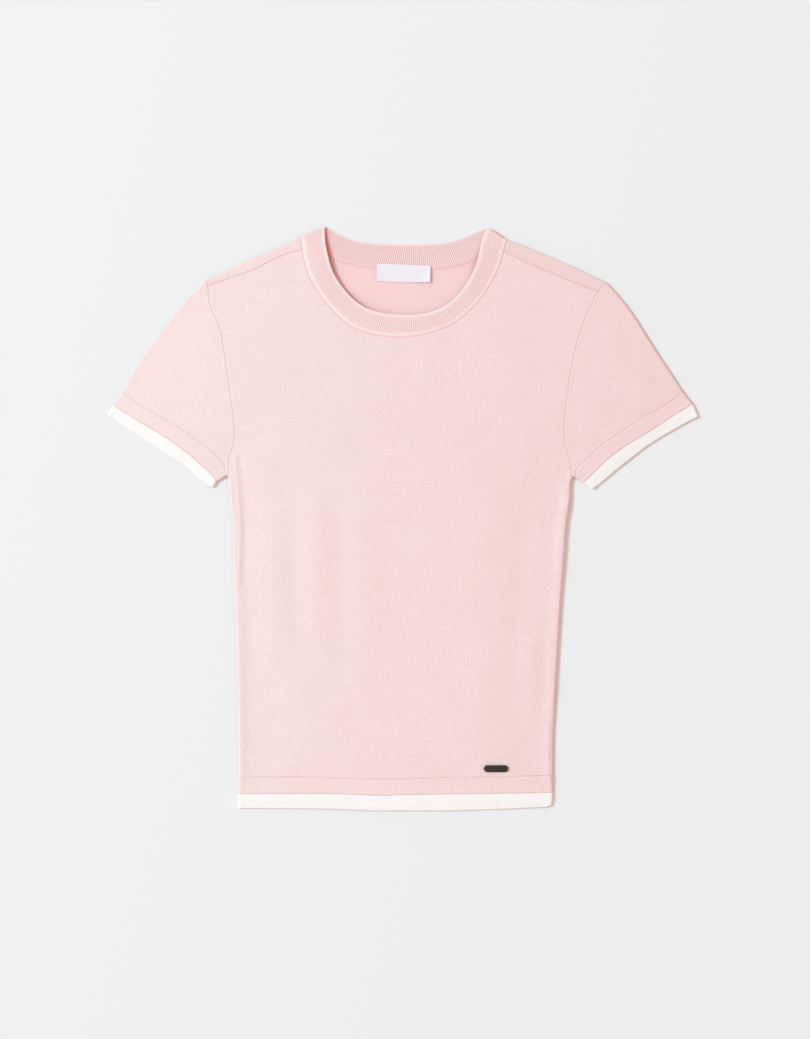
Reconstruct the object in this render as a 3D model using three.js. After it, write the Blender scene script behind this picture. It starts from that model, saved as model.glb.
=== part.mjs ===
// A short-sleeved knitted crop top, lying flat and face up.
// Millimetres. X runs to the right, Y towards the neck, Z up from the surface that the top lies on.

import * as THREE from "three";

// Cloth and seams
const clothWall = 1.2;
const layerGap = 0.8;
const seamGap = 0.3;
const halfGap = seamGap / 2;
const foldRadius = (clothWall + layerGap) / 2;
const foldSteps = 6;
const lowerMiddle = clothWall / 2;
const foldMiddle = lowerMiddle + foldRadius;
const upperMiddle = lowerMiddle + 2 * foldRadius;

// Air between the two layers: it starts at a margin from the folded edges and grows over its reach
const air = { rise: 1.6, margin: 2, reach: 70, waveReach: 23 };

// A panel's side curve dies away towards its middle by this power
const sideFade = 3;

// Two edges of an outline with a smaller turn than this, as a sine, count as one straight line
const straightTurn = 0.2;

// Neckband
const rib = { pitch: 2, rise: 0.3 };

// Neck label, with its fold over the neckband seam
const label = { wall: 1, topFlat: 0.42, step: 0.62, lift: 0.6, curl: 4, columns: 5 };

// Badge near the hem
const badge = { x: 85.5, y: -229.6, length: 22.5, width: 6.4, height: 1.5, bevel: 0.4, steps: 5 };

// Finishes
const finishes = {
  pinkKnit: { color: 0xf3d3d3, roughness: 0.92, metalness: 0 },
  pinkRib: { color: 0xf0cfcb, roughness: 0.92, metalness: 0 },
  whiteKnit: { color: 0xfaf6f3, roughness: 0.9, metalness: 0 },
  labelSatin: { color: 0xf8f6f4, roughness: 0.55, metalness: 0 },
  darkMetal: { color: 0x3a3a3d, roughness: 0.35, metalness: 1 },
};

function table(columns, rows) {
  return rows.map((row) => Object.fromEntries(columns.map((name, i) => [name, row[i]])));
}

const plan = (x, y) => new THREE.Vector2(x, y);
const line = (rows) => rows.map((row) => plan(row.x, row.y));
const sideLine = (rows, side) =>
  rows.map((row) => (side === "left" ? plan(row.leftX, row.leftY) : plan(row.rightX, row.rightY)));

const bothSides = ["leftX", "leftY", "rightX", "rightY"];

// The fold along the shoulder, from the armhole to the neckband seam
const shoulderFold = table(bothSides, [
  [-181.5, 220, 188, 217],
  [-159, 230.3, 167, 227],
  [-136, 241, 144, 237.5],
  [-113, 250.5, 117, 249],
  [-94, 259, 96, 257],
]);

// The seam that joins front and back, forward of the shoulder fold
const shoulderSeam = table(bothSides, [
  [-179.5, 214, 179.8, 209.3],
  [-158, 222.1, 165, 214.8],
  [-136, 229.8, 144, 223],
  [-113, 241.5, 117, 234.5],
  [-92.6, 248, 92.9, 246.4],
]);

// The armhole seam, from the shoulder fold to the underarm
const armhole = table(bothSides, [
  [-181.5, 220, 188, 217],
  [-179.5, 214, 179.8, 209.3],
  [-177.4, 197.3, 173, 196],
  [-168.5, 176, 165.4, 178],
  [-164.2, 153, 157.5, 151],
  [-160, 123, 152, 119],
  [-155.5, 90, 148.5, 89],
  [-155.3, 71, 148.8, 71],
  [-160, 56.5, 154, 54],
  [-160.6, 39.5, 155.3, 38.5],
]);

// The folded side of the body, from the hem seam up to the underarm
const bodySide = table(bothSides, [
  [-151.8, -238, 136.3, -236],
  [-151.9, -203, 136.5, -203],
  [-152.6, -167, 138, -167],
  [-153.4, -120, 140.6, -120],
  [-154.6, -75, 143.5, -75],
  [-156.8, -38, 146.3, -38],
  [-156.8, -5, 148.8, -3],
  [-159.8, 17, 152, 17],
  [-160.4, 36, 153.2, 35],
  [-160.6, 39.5, 155.3, 38.5],
]);

// The fold along the top of the sleeve, from the armhole to the cuff seam
const sleeveTop = table(bothSides, [
  [-181.5, 220, 188, 217],
  [-209, 190, 206, 196],
  [-229, 163.5, 234.5, 152],
  [-246, 139.5, 248.5, 131],
  [-257.7, 116.5, 257.5, 117],
]);

// The seam between sleeve and cuff band, from the top fold to the underarm
const cuffSeam = table(bothSides, [
  [-257.7, 116.5, 257.5, 117],
  [-246, 107.3, 241.4, 104.4],
  [-225, 94.8, 220.3, 93],
  [-202.4, 82, 199.2, 79],
  [-190.2, 73.3, 187, 71],
  [-180, 66, 175, 60.4],
  [-171.4, 58.3, 167.3, 53.6],
  [-165.5, 52, 161.5, 49],
  [-163.2, 46, 158.8, 44],
  [-163.6, 38.8, 158.9, 37.6],
]);

// The line between the pink cuff band and its white tipping
const cuffEdge = table(bothSides, [
  [-266.8, 104.8, 266.8, 105.8],
  [-246, 91.8, 248.5, 94.6],
  [-225, 79.2, 227.3, 80.5],
  [-205.2, 66, 206.2, 67.8],
  [-193.4, 56.4, 189.3, 55.5],
  [-185.5, 49.7, 181.5, 48],
  [-179.3, 44.3, 175.7, 42.3],
  [-175.5, 40.5, 171, 38],
  [-172.8, 37.5, 168, 35.3],
  [-171.6, 33.9, 165.9, 33],
]);

// The open end of the sleeve, the outer edge of the white tipping
const sleeveEnd = table(bothSides, [
  [-271.8, 96, 271.7, 94.6],
  [-252.7, 82, 248.5, 82],
  [-231.7, 69.2, 227.3, 69.2],
  [-210.5, 55.2, 204.2, 51.7],
  [-200.5, 48.9, 195, 44.3],
  [-194, 43, 188.5, 38.8],
  [-188.7, 38.2, 183.5, 34.6],
  [-183.5, 33.5, 180, 31.8],
  [-179, 30.2, 177, 29.4],
  [-174.4, 29.4, 174.2, 27.3],
]);

// The neck seam on the front panel, between the two shoulder seams
const frontNeckSeam = table(["x", "y"], [
  [-92.6, 248],
  [-88.2, 228.4],
  [-80.9, 213.8],
  [-72, 200.6],
  [-61.8, 189],
  [-50, 178.8],
  [-34, 171.2],
  [-13.4, 167.5],
  [4.2, 167.5],
  [23.3, 170.5],
  [40.8, 176.4],
  [55.6, 186],
  [70.2, 200.6],
  [82, 218.2],
  [89.2, 233],
  [92.9, 246.4],
]);

// The neckband's free edge in front, between the two points of the folded band
const frontNeckEdge = table(["x", "y"], [
  [-72, 269],
  [-71.4, 254.8],
  [-69.5, 244.6],
  [-65, 228.4],
  [-57.2, 215.3],
  [-47.2, 203.5],
  [-33, 193.6],
  [-17, 189.2],
  [0, 187.7],
  [15, 188.2],
  [28, 191],
  [41, 197.6],
  [52.6, 208],
  [61.4, 221],
  [67.3, 234.3],
  [71.5, 250],
  [76, 269],
]);

// The neckband's free edge at the back
const backNeckEdge = table(["x", "y"], [
  [-72, 269],
  [-59, 262],
  [-46, 256.8],
  [-31, 254],
  [-16, 253],
  [19, 253],
  [40.8, 254.8],
  [57, 260],
  [76, 269],
]);

// The neck seam at the back, seen from inside, between the shoulder folds
const backNeckSeam = table(["x", "y"], [
  [-94, 259],
  [-84, 250],
  [-69.2, 241.7],
  [-54.5, 236.5],
  [-39.8, 233],
  [-25, 230.6],
  [0, 229.6],
  [26, 229.6],
  [45, 232],
  [63, 236.7],
  [80, 245],
  [96, 257],
]);

// Heights of the hem lines across the body: the hem seam, the pink edge and the white bottom edge
const hemLines = table(["across", "seamY", "edgeY", "bottomY"], [
  [0, -238, -253, -266.3],
  [0.2, -237.5, -252.6, -266.5],
  [0.35, -238.8, -253.2, -267.5],
  [0.44, -239.6, -254.4, -268.6],
  [0.52, -239.3, -253.8, -268.4],
  [0.68, -237.9, -253.1, -268.4],
  [0.83, -237.4, -252.6, -267.2],
  [1, -236, -251.8, -265],
]);
const hemEnds = table(["name", "leftX", "rightX"], [
  ["seamY", -151.8, 136.3],
  ["edgeY", -151.6, 136.3],
  ["bottomY", -151.4, 135.6],
]);

// Soft ridges and troughs in the upper layer; turn is the ridge's angle from Y, in degrees
const waves = table(["x", "y", "turn", "length", "width", "rise"], [
  [-122, -50, -2, 170, 15, 0.9],
  [-78, -55, -3, 160, 14, 0.7],
  [-35, -60, -3, 170, 15, 0.8],
  [-100, -48, -2, 150, 10, -0.5],
  [-57, -58, -3, 150, 10, -0.5],
  [62, -20, 4, 120, 22, 0.5],
  [74, -146, 0, 80, 15, 0.6],
  [108, -60, 3, 150, 12, -0.5],
  [120, -140, -2, 110, 12, 0.6],
  [-205, 150, 38, 90, 18, 0.7],
  [210, 135, -40, 90, 18, 0.8],
  [-20, 120, 84, 150, 20, 0.4],
]);

// Label corners, from its top edge down
const labelTop = [plan(-24, 234.7), plan(25.4, 232.9)];
const labelBottom = [plan(-23.6, 219.3), plan(24.7, 218)];

const lerp = THREE.MathUtils.lerp;
const between = (a, b, t) => a.clone().lerp(b, t);
const smooth = (t) => THREE.MathUtils.smoothstep(t, 0, 1);

function hemLine(name) {
  const ends = hemEnds.find((row) => row.name === name);
  return hemLines.map((row) => plan(lerp(ends.leftX, ends.rightX, row.across), row[name]));
}

function heightOnLine(points, x) {
  let i = 0;
  while (i < points.length - 2 && x > points[i + 1].x) i += 1;
  const [a, b] = [points[i], points[i + 1]];
  return lerp(a.y, b.y, (x - a.x) / (b.x - a.x));
}

// Outer edges where the two layers come together
const foldedEdges = ["left", "right"].flatMap((side) => [
  sideLine(shoulderFold, side),
  [sideLine(sleeveTop, side), sideLine(cuffEdge, side)[0], sideLine(sleeveEnd, side)[0]].flat(),
  sideLine(sleeveEnd, side),
  [sideLine(armhole, side), sideLine(cuffSeam, side), sideLine(cuffEdge, side), sideLine(sleeveEnd, side)]
    .map((points) => points.at(-1)),
  sideLine(bodySide, side),
]);
foldedEdges.push(hemLine("bottomY"));

// The neckband's own folds, from the seam to the point of the band
const bandEnds = {
  left: [line(backNeckSeam)[0], line(backNeckEdge)[0]],
  right: [line(backNeckSeam).at(-1), line(backNeckEdge).at(-1)],
};
foldedEdges.push(bandEnds.left, bandEnds.right);

function distanceToEdges(point) {
  let nearest = Infinity;
  for (const edge of foldedEdges) {
    for (let i = 0; i + 1 < edge.length; i += 1) {
      const along = edge[i + 1].clone().sub(edge[i]);
      const reach = point.clone().sub(edge[i]);
      const t = THREE.MathUtils.clamp(reach.dot(along) / along.lengthSq(), 0, 1);
      nearest = Math.min(nearest, reach.sub(along.multiplyScalar(t)).length());
    }
  }
  return nearest;
}

function loft(point) {
  const inside = Math.max(0, distanceToEdges(point) - air.margin);
  const settled = smooth(inside / air.reach);
  let rise = air.rise * settled;
  for (const wave of waves) {
    const turn = THREE.MathUtils.degToRad(wave.turn);
    const from = point.clone().sub(plan(wave.x, wave.y)).rotateAround(plan(0, 0), turn);
    const across = Math.exp(-((from.x / wave.width) ** 2));
    const along = Math.exp(-((2 * from.y / wave.length) ** 4));
    rise += wave.rise * across * along * smooth(inside / air.waveReach);
  }
  return Math.max(0, rise);
}

const onUpper = (p) => ({ point: new THREE.Vector3(p.x, p.y, upperMiddle + loft(p)) });
const onLower = (p) => ({ point: new THREE.Vector3(p.x, p.y, lowerMiddle) });

// A point on a round fold, which bulges from a plan point; the angle turns from straight down to straight up
function onFold(from, bulge, angle) {
  const square = new THREE.Vector3(bulge.x * Math.sin(angle), bulge.y * Math.sin(angle), -Math.cos(angle));
  const point = new THREE.Vector3(from.x, from.y, foldMiddle).addScaledVector(square, foldRadius);
  return { point, square };
}

// A sheet of cloth as the middle of its wall: points, and four-sided faces between them.
// A point on a round fold brings its own square direction.
class Sheet {
  constructor() {
    this.points = [];
    this.squares = [];
    this.faces = [];
  }

  add(points) {
    return points.map(({ point, square }) => {
      this.squares.push(square);
      return this.points.push(point) - 1;
    });
  }

  weave(rows, closed = false) {
    for (let j = 0; j + 1 < rows.length; j += 1) {
      const count = rows[j].length;
      for (let i = 0; i < (closed ? count : count - 1); i += 1) {
        const next = (i + 1) % count;
        this.faces.push([rows[j][i], rows[j][next], rows[j + 1][next], rows[j + 1][i]]);
      }
    }
  }

  normals() {
    const normals = this.points.map(() => new THREE.Vector3());
    for (const face of this.faces) {
      const [a, b, c, d] = face.map((i) => this.points[i]);
      const normal = c.clone().sub(a).cross(d.clone().sub(b));
      for (const i of face) normals[i].add(normal);
    }
    return normals.map((normal, i) => {
      const square = this.squares[i];
      return square ? square.clone().multiplyScalar(Math.sign(square.dot(normal))) : normal.normalize();
    });
  }

  // Gives the sheet its wall. A rise lifts the side of the wall that faces up.
  solid(wall, rises = []) {
    const normals = this.normals();
    const count = this.points.length;
    const positions = [];
    for (const side of [1, -1]) {
      this.points.forEach((point, i) => {
        const facesUp = side * normals[i].z > 0;
        const out = wall / 2 + (facesUp ? rises[i] ?? 0 : 0);
        positions.push(...point.clone().addScaledVector(normals[i], side * out));
      });
    }
    const triangles = [];
    const quad = (a, b, c, d) => triangles.push(a, b, c, a, c, d);
    const edges = new Set();
    for (const face of this.faces) {
      const [a, b, c, d] = face;
      quad(a, b, c, d);
      triangles.push(a + count, c + count, b + count, a + count, d + count, c + count);
      face.forEach((from, i) => edges.add(`${from},${face[(i + 1) % 4]}`));
    }
    for (const edge of edges) {
      const [from, to] = edge.split(",").map(Number);
      if (!edges.has(`${to},${from}`)) quad(from + count, to + count, to, from);
    }
    const geometry = new THREE.BufferGeometry();
    geometry.setAttribute("position", new THREE.Float32BufferAttribute(positions, 3));
    geometry.setIndex(triangles);
    return geometry;
  }
}

const group = new THREE.Group();

function addPiece(name, finish, geometry) {
  const material = new THREE.MeshStandardMaterial(finishes[finish]);
  const mesh = new THREE.Mesh(geometry, material);
  mesh.name = name;
  group.add(mesh);
  return mesh;
}

// Moves every edge of a patch inwards by its own distance. A patch has four sides: start and end run
// across it, first and last run along it, and inset gives one distance, or one for each edge.
function insetPatch(patch, inset) {
  const spread = (name) => {
    const edges = patch[name].length - 1;
    return Array.isArray(inset[name]) ? inset[name] : new Array(edges).fill(inset[name]);
  };
  const loop = [
    ...patch.start,
    ...patch.last.slice(1),
    ...patch.end.toReversed().slice(1),
    ...patch.first.toReversed().slice(1, -1),
  ];
  const distances = [
    ...spread("start"),
    ...spread("last"),
    ...spread("end").toReversed(),
    ...spread("first").toReversed(),
  ];
  const count = loop.length;
  const area = loop.reduce((sum, p, i) => sum + p.cross(loop[(i + 1) % count]), 0);
  const inward = (i) => {
    const along = loop[(i + 1) % count].clone().sub(loop[i]).normalize();
    return plan(-along.y, along.x).multiplyScalar(Math.sign(area));
  };
  const moved = loop.map((point, i) => {
    const before = (i + count - 1) % count;
    const [n0, n1] = [inward(before), inward(i)];
    const [d0, d1] = [distances[before], distances[i]];
    const turn = n0.cross(n1);
    if (Math.abs(turn) < straightTurn) {
      return point.clone().addScaledVector(n0.add(n1).normalize(), (d0 + d1) / 2);
    }
    const shift = plan((d0 * n1.y - d1 * n0.y) / turn, (d1 * n0.x - d0 * n1.x) / turn);
    return point.clone().add(shift);
  });
  const corners = [0, patch.start.length - 1];
  corners.push(corners[1] + patch.last.length - 1);
  corners.push(corners[2] + patch.end.length - 1);
  return {
    start: moved.slice(0, corners[1] + 1),
    last: moved.slice(corners[1], corners[2] + 1),
    end: moved.slice(corners[2], corners[3] + 1).toReversed(),
    first: [...moved.slice(corners[3]), moved[0]].toReversed(),
  };
}

// Fills a patch with rows of points that follow all four of its sides. The curve of a side dies away
// quickly towards the middle.
function fillPatch(patch, across, along) {
  return along.map((v, j) => {
    const firstCurve = patch.first[j].clone().sub(between(patch.start[0], patch.end[0], v));
    const lastCurve = patch.last[j].clone().sub(between(patch.start.at(-1), patch.end.at(-1), v));
    return across.map((u, i) =>
      between(patch.start[i], patch.end[i], v)
        .addScaledVector(firstCurve, (1 - u) ** sideFade)
        .addScaledVector(lastCurve, u ** sideFade),
    );
  });
}

const evenly = (count) => Array.from({ length: count }, (_, i) => i / (count - 1));

// How far along a line each of its points lies, from 0 to 1
function fractions(points) {
  const reached = [0];
  points.slice(1).forEach((point, i) => reached.push(reached[i] + point.distanceTo(points[i])));
  return reached.map((length) => length / reached.at(-1));
}

const meanFractions = (a, b) => fractions(a).map((t, i) => (t + fractions(b)[i]) / 2);
const heading = (from, to) => to.clone().sub(from).normalize();

// The neckband bulges square to its folds, away from the body
function bandBulge(side) {
  const along = heading(...bandEnds[side]);
  const square = plan(-along.y, along.x);
  return square.multiplyScalar(Math.sign(square.y));
}

// Directions in which a folded side bulges: square to the fold, but along the seam at each end
function bulges(side, seamHeadings) {
  return side.map((point, i) => {
    if (i === 0) return seamHeadings[0];
    if (i === side.length - 1) return seamHeadings[1];
    const along = heading(side[i - 1], side[i + 1]);
    const square = plan(along.y, -along.x);
    return square.dot(seamHeadings[0]) < 0 ? square.negate() : square;
  });
}

// The points of a flat fold, from the point below to the point above it, both left out
function foldPoints(below, above, bulge) {
  const points = [];
  for (let k = 1; k < foldSteps; k += 1) {
    points.push(onFold(between(below, above, k / foldSteps), bulge, (Math.PI * k) / foldSteps));
  }
  return points;
}

// A tube that lies flat: each row goes over the upper layer, round one fold, back below and round the other
function flatTube(patch, along, inset) {
  const grid = fillPatch(insetPatch(patch, inset), meanFractions(patch.start, patch.end), along);
  const ends = [patch.start, patch.end];
  const firstBulges = bulges(patch.first, ends.map((seam) => heading(seam[1], seam[0])));
  const lastBulges = bulges(patch.last, ends.map((seam) => heading(seam.at(-2), seam.at(-1))));
  const sheet = new Sheet();
  const rows = grid.map((row, j) =>
    sheet.add([
      ...row.map(onUpper),
      ...foldPoints(row.at(-1), row.at(-1), lastBulges[j]).toReversed(),
      ...row.map(onLower).toReversed(),
      ...foldPoints(row[0], row[0], firstBulges[j]),
    ]),
  );
  sheet.weave(rows, true);
  return sheet.solid(clothWall);
}

const ringPatch = (from, to) => ({
  start: from,
  end: to,
  first: [from[0], to[0]],
  last: [from.at(-1), to.at(-1)],
});

// Sleeves, cuff bands and their white tipping
for (const side of ["left", "right"]) {
  const [arm, seam, edge, end] = [armhole, cuffSeam, cuffEdge, sleeveEnd].map((rows) => sideLine(rows, side));
  const top = sideLine(sleeveTop, side);
  const underarm = evenly(top.length).map((t) => between(arm.at(-1), seam.at(-1), t));
  const sleeve = { start: arm, end: seam, first: top, last: underarm };
  const inset = { start: halfGap, end: halfGap, first: foldRadius, last: foldRadius };
  addPiece(`sleeve_${side}`, "pinkKnit", flatTube(sleeve, fractions(top), inset));
  addPiece(`cuff_band_${side}`, "pinkKnit", flatTube(ringPatch(seam, edge), [0, 1], inset));
  addPiece(`cuff_tipping_${side}`, "whiteKnit", flatTube(ringPatch(edge, end), [0, 1], { ...inset, end: 0 }));
}

// Hem band and its white tipping
const hemRings = table(["name", "finish", "from", "to", "endGap"], [
  ["hem_band", "pinkKnit", "seamY", "edgeY", halfGap],
  ["hem_tipping", "whiteKnit", "edgeY", "bottomY", 0],
]);
for (const ring of hemRings) {
  const inset = { start: halfGap, end: ring.endGap, first: foldRadius, last: foldRadius };
  addPiece(ring.name, ring.finish, flatTube(ringPatch(hemLine(ring.from), hemLine(ring.to)), [0, 1], inset));
}

// A body panel's outline and grid, from the hem seam up to its top line
function bodyGrid(top, topInset, armholeRows) {
  const seamLine = hemLine("seamY");
  const span = [top[0].x, top.at(-1).x];
  const across = top.map((point) => (point.x - span[0]) / (span[1] - span[0]));
  const start = across.map((u) => {
    const x = lerp(seamLine[0].x, seamLine.at(-1).x, u);
    return plan(x, heightOnLine(seamLine, x));
  });
  const [first, last] = ["left", "right"].map((side) => {
    const upArmhole = sideLine(armholeRows, side).toReversed();
    return [...sideLine(bodySide, side), ...upArmhole.slice(1)];
  });
  const heights = first.map((point, j) => (point.y + last[j].y) / 2);
  const along = heights.map((y) => (y - heights[0]) / (heights.at(-1) - heights[0]));
  const sideInset = first.slice(1).map((_, j) => (j < bodySide.length - 1 ? foldRadius : halfGap));
  const inset = { start: halfGap, end: topInset, first: sideInset, last: sideInset };
  return fillPatch(insetPatch({ start, end: top, first, last }, inset), across, along);
}

// Rounds the panel's sides towards the side seam, which lies at half height
function roundSides(sheet, rows, grid, upward) {
  const seamLine = hemLine("seamY");
  const start = upward > 0 ? Math.PI : 0;
  const turn = upward * (halfGap / foldRadius - Math.PI / 2);
  const steps = foldSteps / 2;
  for (const side of ["left", "right"]) {
    const at = side === "left" ? 0 : -1;
    const seamHeading = side === "left"
      ? heading(seamLine[1], seamLine[0])
      : heading(seamLine.at(-2), seamLine.at(-1));
    const outline = sideLine(bodySide, side);
    const directions = bulges(outline, [seamHeading, seamHeading]);
    const strip = rows.slice(0, bodySide.length - 1).map((row, j) => {
      const from = grid[j].at(at);
      const added = [];
      for (let k = 1; k <= steps; k += 1) {
        added.push(onFold(from, directions[j], start + (turn * k) / steps));
      }
      const indices = sheet.add(added);
      return side === "left" ? [...indices.toReversed(), row[0]] : [row.at(-1), ...indices];
    });
    sheet.weave(strip);
  }
}

// Front panel
const leftShoulder = sideLine(shoulderSeam, "left");
const rightShoulder = sideLine(shoulderSeam, "right").toReversed();
const frontTop = [...leftShoulder, ...line(frontNeckSeam).slice(1), ...rightShoulder.slice(1)];
const frontGrid = bodyGrid(frontTop, halfGap, armhole.slice(1));
const frontSheet = new Sheet();
const frontRows = frontGrid.map((row) => frontSheet.add(row.map(onUpper)));
frontSheet.weave(frontRows);
roundSides(frontSheet, frontRows, frontGrid, 1);
const frontPanel = addPiece("front_panel", "pinkKnit", frontSheet.solid(clothWall));

// Back panel, which runs over the shoulder folds to the shoulder seams
const leftFold = sideLine(shoulderFold, "left");
const rightFold = sideLine(shoulderFold, "right").toReversed();
const backTop = [...leftFold, ...line(backNeckSeam).slice(1), ...rightFold.slice(1)];
const backTopInset = backTop.slice(1).map((_, i) => {
  const folded = i < leftFold.length - 1 || i >= backTop.length - rightFold.length;
  return folded ? foldRadius : halfGap;
});
const backGrid = bodyGrid(backTop, backTopInset, armhole);
const backSheet = new Sheet();
const backRows = backGrid.map((row) => backSheet.add(row.map(onLower)));
backSheet.weave(backRows);
roundSides(backSheet, backRows, backGrid, -1);

for (const side of ["left", "right"]) {
  const [fold, seam] = [sideLine(shoulderFold, side), sideLine(shoulderSeam, side)];
  const patch = { start: fold, end: seam, first: [fold[0], seam[0]], last: [fold.at(-1), seam.at(-1)] };
  const inset = { start: foldRadius, end: halfGap, first: halfGap, last: halfGap };
  const wrap = fillPatch(insetPatch(patch, inset), evenly(fold.length), [0, 1]);
  const directions = bulges(fold, [heading(seam[0], fold[0]), bandBulge(side)]);
  const foldEnd = (row) => {
    return side === "left" ? row.slice(0, fold.length) : row.slice(-fold.length).toReversed();
  };
  const [edge, below] = [foldEnd(backRows.at(-1)), foldEnd(backGrid.at(-1))];
  const columns = wrap[0].map((above, i) => {
    const over = [above, wrap[1][i]].map(onUpper);
    return [edge[i], ...backSheet.add([...foldPoints(below[i], above, directions[i]), ...over])];
  });
  const rows = columns[0].map((_, k) => columns.map((column) => column[k]));
  if (side === "right") rows.forEach((row) => row.reverse());
  backSheet.weave(rows);
}
addPiece("back_panel", "pinkKnit", backSheet.solid(clothWall));

// Points at even steps along a line
function stepsAlong(points, count) {
  const path = new THREE.CurvePath();
  points.slice(1).forEach((point, i) => path.add(new THREE.LineCurve(points[i], point)));
  return path.getSpacedPoints(count);
}

// Neckband: a ribbed ring folded flat at the shoulder points, its front above and its back below
function bandPart(seam, edge) {
  const patch = { start: seam, end: edge, first: bandEnds.left, last: bandEnds.right };
  return insetPatch(patch, { start: halfGap, end: 0, first: foldRadius, last: foldRadius });
}
const wholeFrontSeam = [bandEnds.left[0], ...line(frontNeckSeam), bandEnds.right[0]];
const frontBand = bandPart(wholeFrontSeam, line(frontNeckEdge));
const backBand = bandPart(line(backNeckSeam), line(backNeckEdge));
const lengthOf = (points) => points.slice(1).reduce((sum, point, i) => sum + point.distanceTo(points[i]), 0);
const ribsOn = (band) => Math.round((lengthOf(band.start) + lengthOf(band.end)) / 2 / rib.pitch);
const [frontRibs, backRibs] = [ribsOn(frontBand), ribsOn(backBand)];
const bandSheet = new Sheet();
const bandRises = [];
const bandRows = ["start", "end"].map((edge) => {
  const over = stepsAlong(frontBand[edge], 2 * frontRibs);
  const under = stepsAlong(backBand[edge], 2 * backRibs).toReversed();
  const flat = new Array(foldSteps - 1).fill(0);
  const ribbed = (points) => points.map((_, i) => (i % 2 ? rib.rise : 0));
  bandRises.push(...ribbed(over), ...flat, ...ribbed(under), ...flat);
  return bandSheet.add([
    ...over.map(onUpper),
    ...foldPoints(under[0], over.at(-1), bandBulge("right")).toReversed(),
    ...under.map(onLower),
    ...foldPoints(under.at(-1), over[0], bandBulge("left")),
  ]);
});
bandSheet.weave(bandRows, true);
addPiece("neckband", "pinkRib", bandSheet.solid(clothWall, bandRises));

// Neck label, over the neckband seam and down on to the back panel, a little lifted at its right end
const labelSheet = new Sheet();
const labelRows = table(["down", "floor"], [
  [0, clothWall + rib.rise],
  [label.topFlat, clothWall + rib.rise],
  [label.step, clothWall],
  [1, clothWall],
]).map((row) =>
  labelSheet.add(
    evenly(label.columns).map((u) => {
      const p = between(between(...labelTop, u), between(...labelBottom, u), row.down);
      const z = row.floor + seamGap + label.wall / 2 + label.lift * u ** label.curl * row.down;
      return { point: new THREE.Vector3(p.x, p.y, z) };
    }),
  ),
);
labelSheet.weave(labelRows);
addPiece("neck_label", "labelSatin", labelSheet.solid(label.wall));

// Hem badge: a plain bar with round ends, following the front panel just above the hem seam
function heightOf(mesh, x, y) {
  mesh.geometry.computeBoundingBox();
  const from = new THREE.Vector3(x, y, mesh.geometry.boundingBox.max.z + 1);
  return new THREE.Raycaster(from, new THREE.Vector3(0, 0, -1)).intersectObject(mesh)[0].point.z;
}

const badgeEnd = badge.width / 2 - badge.bevel;
const badgeReach = badge.length / 2 - badge.width / 2;
const badgeShape = new THREE.Shape();
badgeShape.absarc(badgeReach, 0, badgeEnd, -Math.PI / 2, Math.PI / 2);
badgeShape.absarc(-badgeReach, 0, badgeEnd, Math.PI / 2, 1.5 * Math.PI);
const badgeGeometry = new THREE.ExtrudeGeometry(badgeShape, {
  depth: badge.height - 2 * badge.bevel,
  bevelSize: badge.bevel,
  bevelThickness: badge.bevel,
  bevelSegments: 1,
  curveSegments: badge.steps,
});
badgeGeometry.translate(badge.x, badge.y, badge.bevel + seamGap);
const badgePoints = badgeGeometry.attributes.position;
frontPanel.updateMatrixWorld();
for (let i = 0; i < badgePoints.count; i += 1) {
  const [x, y] = [badgePoints.getX(i), badgePoints.getY(i)];
  badgePoints.setZ(i, badgePoints.getZ(i) + heightOf(frontPanel, x, y));
}
addPiece("hem_badge", "darkMetal", badgeGeometry);

export default group;
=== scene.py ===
# A short-sleeved knitted crop top, laid flat and face up.
# Tables and sizes are in millimetres; meshes are made in metres.
import math

import bpy
import numpy as np
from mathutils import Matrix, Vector, noise


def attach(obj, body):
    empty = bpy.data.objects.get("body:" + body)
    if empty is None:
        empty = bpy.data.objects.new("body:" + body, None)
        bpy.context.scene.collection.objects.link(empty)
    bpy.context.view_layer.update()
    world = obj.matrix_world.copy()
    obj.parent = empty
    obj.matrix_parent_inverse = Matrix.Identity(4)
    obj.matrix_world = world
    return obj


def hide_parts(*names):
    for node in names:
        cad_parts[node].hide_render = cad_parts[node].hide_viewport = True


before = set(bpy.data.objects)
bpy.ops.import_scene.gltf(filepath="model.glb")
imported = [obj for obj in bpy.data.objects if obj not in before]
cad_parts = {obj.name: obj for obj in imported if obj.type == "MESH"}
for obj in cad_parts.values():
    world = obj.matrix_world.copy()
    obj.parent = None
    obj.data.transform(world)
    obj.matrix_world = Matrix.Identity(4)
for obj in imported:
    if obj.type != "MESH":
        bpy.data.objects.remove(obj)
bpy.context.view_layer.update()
metre = 0.001  # one millimetre
print("frame loaded with", len(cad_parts), "nodes")

cloth = {
    "wall": 1.2,
    "foldRadius": 1.0,
    "lowerMiddle": 0.6,
    "upperMiddle": 2.6,
    "foldSteps": 10,
    "seamInset": 0.32,  # from the seam line to where the round rim of the wall starts
    "rimReach": 0.3,
    "rimSteps": 4,
    "sideFade": 3,
}
gradings = {  # fine step, coarse step and how far from the ends the coarse one is reached
    "panelAcross": (0.6, 3.0, 14), "panelUp": (0.6, 3.2, 16), "sleeve": (0.6, 2.8, 16),
    "cuffAcross": (0.7, 2.6, 10), "hemAcross": (0.7, 2.6, 12), "bandUp": (0.7, 1.6, 6),
    "wrap": (0.6, 1.6, 4), "neckband": (0.7, 1.6, 5),
}


def table(columns, rows):
    return [dict(zip(columns, row)) for row in rows]


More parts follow.
